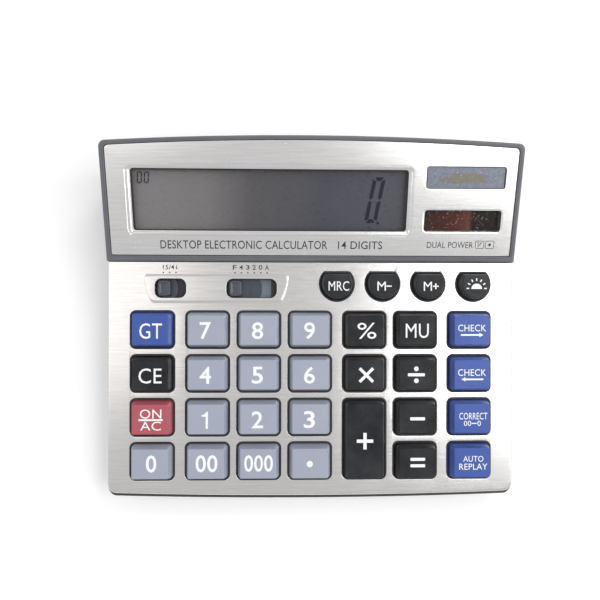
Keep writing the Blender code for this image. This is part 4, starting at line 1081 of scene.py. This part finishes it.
def headLettering():
    # Words, and icons for the two power sources
    iconY, cellX, sunX = 8.1, 78.1, 82.8
    marks = [
        words("DESKTOP ELECTRONIC CALCULATOR", 76.9, 3.9, -31.5, 7.6, 0.004),
        words("14 DIGITS", 20.6, 3.7, 22.2, 7.6, 0.004),
        words("DUAL POWER", 21.6, 2.9, 64.2, 7.9),
        disc(0.62, sunX, iconY),
        [(cellX + px, iconY + py) for px, py in ((-1.1, -1.0), (-0.75, -1.15), (1.1, 1.0), (0.75, 1.15))],
        boxOutline(0.35, 1.0, cellX - 0.7, iconY + 0.7),
    ]
    for x in (cellX, sunX):
        marks.append(("frame", *(roundedRect(side + 0.5, side, corner, x, iconY, 3)
                                 for side, corner in ((3.7, 0.6), (3.2, 0.4)))))
    return printMarks("headLettering", marks, onHead, -headShape["plateSink"], 0.0, 0.0, plateInk)


switchLegends()
headLettering()
print("plate lettering printed")

# The liquid crystal's lit segments
segmentShape = {
    "slant": 0.176,
    "gap": 0.22 / 1.75,  # as a share of the stroke
    "bigSize": (5.8, 20.9, 1.75),  # width, height, stroke
    "bigDigit": (24.0, 17.5),  # lower left corner before the slant
    "point": (30.5, 17.4, 0.72),  # centre and radius
    "smallSize": (2.35, 5.3, 0.60),
    "smallSlant": 0.09,
    "smallDigits": ((-80.0, 34.9), (-76.85, 34.9)),
    "depth": 4.3,
}


def zeroSegments(x, y, size, slant):
    # Six strokes of a seven-segment nought, mitred where they meet
    width, height, stroke = size
    gap = segmentShape["gap"] * stroke
    cut = 0.35 * stroke
    flat = [(cut + gap, height), (width - cut - gap, height), (width - stroke - gap, height - stroke),
            (stroke + gap, height - stroke)]
    middle = height / 2 + gap
    upright = [(0, height - cut - gap), (stroke, height - stroke - gap), (stroke, middle + 0.5 * stroke),
               (0.5 * stroke, middle), (0, middle + 0.3 * stroke)]
    flips = [(flat, False, False), (flat, False, True), (upright, False, False), (upright, False, True),
             (upright, True, False), (upright, True, True)]
    outlines = []
    for shape, flipX, flipY in flips:
        stood = [(width - px if flipX else px, height - py if flipY else py) for px, py in shape]
        outlines.append([(x + px + slant * py, y + py) for px, py in stood])
    return outlines


def litSegments():
    marks = zeroSegments(*segmentShape["bigDigit"], segmentShape["bigSize"], segmentShape["slant"])
    x, y, radius = segmentShape["point"]
    marks.append(disc(radius, x, y))
    for x, y in segmentShape["smallDigits"]:
        marks += zeroSegments(x, y, segmentShape["smallSize"], segmentShape["smallSlant"])
    depth = -segmentShape["depth"]
    return printMarks("litSegments", marks, onHead, depth, 0.0, 0.0, crystalInk)


litSegments()
print("display segments made")

# Slide switches
knobShape = {
    "size": (6.0, 7.6),
    "corner": 1.5,
    "rise": 0.4,
    "shutterTop": 3.2,
    "shutterUnder": 4.0,
    "shutterHeight": 10.9,
    "lowerStep": 0.50,
    "decimal": (15.0, 12.1),  # travel, and reach of the shutter to either side
    "rounding": (6.0, 6.0),
    "upperReach": 6.6,
    "bodyTop": 4.3,
    "bodyHalf": 4.8,
    "label": (-26.2, -19.2, 4.2),  # from, to and half height
}


def switchKnob(which):
    travel, reach = knobShape[which]
    centre, y = switchShape[which][0] - travel / 2, switchShape["slotY"]
    top, under, rise = knobShape["shutterTop"], knobShape["shutterUnder"], knobShape["rise"]

    def slab(half, height, corner, low, high):
        outline = roundedRect(2 * half, height, corner, centre, y)
        return solid(bmesh.new(), [ring(outline, onDeck, z) for z in (low, high)])

    tall = knobShape["shutterHeight"]
    shutter = slab(reach, tall, 4.2, -under, -top - knobShape["lowerStep"])
    thing = piece(which + "Knob", shutter, switchPlastic, which + "_knob", [which + "_switch_knob"])
    upper = min(reach, knobShape["upperReach"])
    combine(thing, "UNION", slab(upper, tall - 0.4, 4.4, -under + 0.2, -top - 0.08))
    profile = [(0, -under + 0.3), (0, -0.7), (-0.1, rise - 0.55), (-0.25, rise - 0.2), (-0.5, rise - 0.03),
               (-0.75, rise), (-1.1, rise - 0.05), (-1.5, rise - 0.28), (-2.0, rise - 0.34)]

    def knobOutline(grow):
        return grownRect(knobShape["size"], knobShape["corner"], grow, centre, y, 0.4)

    def nibOutline(radius):
        return [(centre - 0.3 + px, y + 0.9 + 1.5 * py) for px, py in arcPoints(0, 0, radius, 0, 345, 23)]

    nib = [(0.55, rise - 0.8), (0.55, rise - 0.18), (0.42, rise - 0.02), (0.15, rise + 0.06)]
    combine(thing, "UNION", solid(bmesh.new(), stacked(knobOutline, onDeck, profile)))
    combine(thing, "UNION", solid(bmesh.new(), stacked(nibOutline, onDeck, nib)))
    return thing


def switchBase(which):
    x, length = switchShape[which]
    y, half, under = switchShape["slotY"], knobShape["bodyHalf"], -knobShape["bodyTop"]
    low, high = (x - length / 2 - 0.3, y - half, under - 0.05), (x + length / 2 + 0.3, y + half, under + 0.1)
    return piece(which + "SwitchBase", block(bmesh.new(), low, high, onDeck, 0.04), collarPlastic)


def decimalLabel():
    # The pale strip that the knob uncovers
    left, right, half = knobShape["label"]
    y, under = switchShape["slotY"], -knobShape["bodyTop"]
    low, high = (left, y - half, under + 0.08), (right, y + half, under + 0.2)
    return piece("decimalSwitchLabel", block(bmesh.new(), low, high, onDeck, 0.04), labelPlastic)


switchPlastic = mouldedPlastic("switchKnobPlastic", (0.052, 0.059, 0.078), 0.30, wear=0.08)
labelPlastic = mouldedPlastic("switchBasePlastic", (0.165, 0.19, 0.235), 0.42, wear=0.05)
for which in ("rounding", "decimal"):
    switchKnob(which)
for which in ("rounding", "decimal"):
    switchBase(which)
decimalLabel()
print("slide switches made")

# Battery, its door, screws and feet
underside = {
    "doorX": 51.5,
    "doorBottom": 10.0,
    "doorSize": (59.0, 24.0, 1.6),
    "doorRounding": 0.3,
    "hinge": (0.8, 0.6, 1.2),  # barrel radius, pin radius, how far the pins reach
    "latch": (3.2, 2.4, 22.1, 23.7),  # width, reach, and from and to up the door
    "ridges": (4, 13.0, 1.9),  # count, first height, pitch
    "batteryCentre": (52.35, 149.6, 16.6),
    "batteryHalf": 24.25,
    "batteryRadius": 7.25,
    "feet": [("front_left", -78, 15), ("front_right", 78, 15),
             ("rear_left", -78, 144), ("rear_right", 78, 144)],
    "screws": [("front_left", -88.6, 9.0, 6.865), ("front_right", 88.6, 9.0, 6.865),
               ("rear_left", -88.6, 118.0, 16.798), ("rear_right", 88.6, 118.0, 16.798)],
}
rearSlope = 2 * caseShape["rearBow"] * underside["doorX"] / caseShape["halfWidth"] ** 2
doorTurn = -math.degrees(math.atan(rearSlope))
doorRear = caseShape["depth"] - caseShape["rearBow"] * (underside["doorX"] / caseShape["halfWidth"]) ** 2


def onDoor(x, height, out):
    # Along the door, up it and out of its face
    turnSin, turnCos = sinCos(doorTurn)
    return inPlan(underside["doorX"] + x * turnCos - out * turnSin, doorRear + x * turnSin + out * turnCos,
                  underside["doorBottom"] + height)


def batteryDoor():
    width, height, thick = underside["doorSize"]
    face = -0.15
    made = block(bmesh.new(), (-width / 2, 0.0, face - thick), (width / 2, height, face), onDoor,
                 underside["doorRounding"])
    door = piece("batteryDoor", made, lowerPlastic, "door", ["battery_cover"])
    barrel, pin, reach = underside["hinge"]
    middle = face - thick / 2
    for radius, half in ((barrel, width / 2), (pin, width / 2 + reach)):
        profile = [(radius - 0.1, -half), (radius, -half + 0.1), (radius, half - 0.1), (radius - 0.1, half)]
        combine(door, "UNION", turned(bmesh.new(), profile, lambda x, y, z: onDoor(z, x, middle + y), 24))
    latchWidth, latchReach, latchLow, latchHigh = underside["latch"]
    low, high = (-latchWidth / 2, latchLow, middle), (latchWidth / 2, latchHigh, latchReach)
    combine(door, "UNION", block(bmesh.new(), low, high, onDoor, 0.2))
    count, first, pitch = underside["ridges"]
    for i in range(count):
        low = first + pitch * i
        ridge = block(bmesh.new(), (-8, low, face - 0.5), (8, low + 0.9, face + 0.35), onDoor, 0.2)
        combine(door, "UNION", ridge)
    return door


def battery():
    half, radius = underside["batteryHalf"], underside["batteryRadius"]
    profile = [(radius - 0.6, -half), (radius - 0.5, 0.05 - half), (radius - 0.4, 0.05 - half),
               (radius - 0.1, 0.15 - half), (radius, 0.45 - half), (radius, half - 0.6),
               (radius - 0.2, half - 0.15), (radius - 0.6, half), (2.6, half), (2.6, half + 1.5),
               (2.4, half + 1.7)]
    middleX, middleY, middleZ = underside["batteryCentre"]
    made = turned(bmesh.new(), profile, lambda x, y, z: inPlan(middleX + z, middleY + x, middleZ + y), 48)
    jacket = batteryJacket("batteryJacket", middleX)
    return piece("battery", made, jacket, replaced=["battery"])


def batteryJacket(name, middleX):
    # Dark sleeve with a copper-coloured end, bare steel at both caps
    finish = Finish(name, (0.02, 0.02, 0.022), 0.30, 0.4)
    reach = underside["batteryHalf"]
    along = finish.acrossCase((middleX - reach) * mm, (middleX + reach) * mm)
    finish.colour(finish.ramp(along, [
        (0.0, (0.60, 0.60, 0.58)), (0.012, (0.02, 0.02, 0.022)), (0.66, (0.02, 0.02, 0.022)),
        (0.68, (0.50, 0.26, 0.12)), (0.988, (0.60, 0.60, 0.58))], "CONSTANT"))
    finish.roughness(finish.span(finish.spots(260), 0.24, 0.40))
    return finish.material


def screw(name, x, y, z):
    # A domed head, then a shank with one groove for each turn of the thread
    profile = [(1.3, -1.8), (1.9, -1.74), (2.35, -1.40), (2.55, -0.95), (2.6, -0.5), (2.6, -0.05), (2.5, 0),
               (1.2, 0)]
    for i in range(11):
        start = 0.6 + 0.6 * i
        profile += [(1.2, start), (0.98, start + 0.18), (0.98, start + 0.26), (1.2, start + 0.42)]
    profile += [(1.2, 7.3), (0.6, 8.0)]
    made = turned(bmesh.new(), profile, lambda px, py, pz: inPlan(x + px, y + py, z + pz), 32)
    thing = piece("screw_" + name, made, screwZinc, replaced=["screw_" + name])
    for wide, deep in ((1.5, 0.24), (0.24, 1.5)):
        low, high = (x - wide, y - deep, z - 2.2), (x + wide, y + deep, z - 0.9)
        combine(thing, "DIFFERENCE", block(bmesh.new(), low, high))
    return thing


def foot(name, x, y):
    profile = [(3.9, 0.25), (4.1, 0.06), (4.3, 0.0), (5.0, 0.0), (5.3, 0.12), (5.5, 0.5), (5.5, 2.1),
               (5.4, 2.2)]
    made = turned(bmesh.new(), profile, lambda px, py, pz: inPlan(x + px, y + py, pz), 48)
    return piece("foot_" + name, made, footRubber, replaced=["foot_" + name])


screwZinc = metalFinish("zincPlate", (0.56, 0.56, 0.57), 0.32, 2200)
footRubber = mouldedPlastic("footRubber", (0.016, 0.016, 0.017), 0.80, 900, 0.04)
batteryDoor()
battery()
for name, x, y, z in underside["screws"]:
    screw(name, x, y, z)
for name, x, y in underside["feet"]:
    foot(name, x, y)
print("battery, door, screws and feet made")

# Finishes for the pieces that stay as packed
springSteel = metalFinish("springSteel", (0.62, 0.61, 0.58), 0.28, 1500)
keptFinishes = {
    "lower_case": lowerPlastic,
    "key_membrane": mouldedPlastic("siliconeRubber", (0.42, 0.43, 0.43), 0.62, 900, 0.02),
    "main_board": mouldedPlastic("boardLacquer", (0.035, 0.13, 0.05), 0.38, 500, 0.02, 0.4),
    "lcd_ribbon": mouldedPlastic("flexFilm", (0.42, 0.24, 0.06), 0.30, 400, 0.01),
    "lcd_holder": collarPlastic,
    "backlight_panel": mouldedPlastic("lightGuide", (0.70, 0.72, 0.70), 0.28, 600, 0.01, 0.03),
    "battery_contact": springSteel,
    "battery_spring": springSteel,
}
for name, finish in keptFinishes.items():
    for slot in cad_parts[name].material_slots:
        slot.material = finish
print("kept pieces finished")
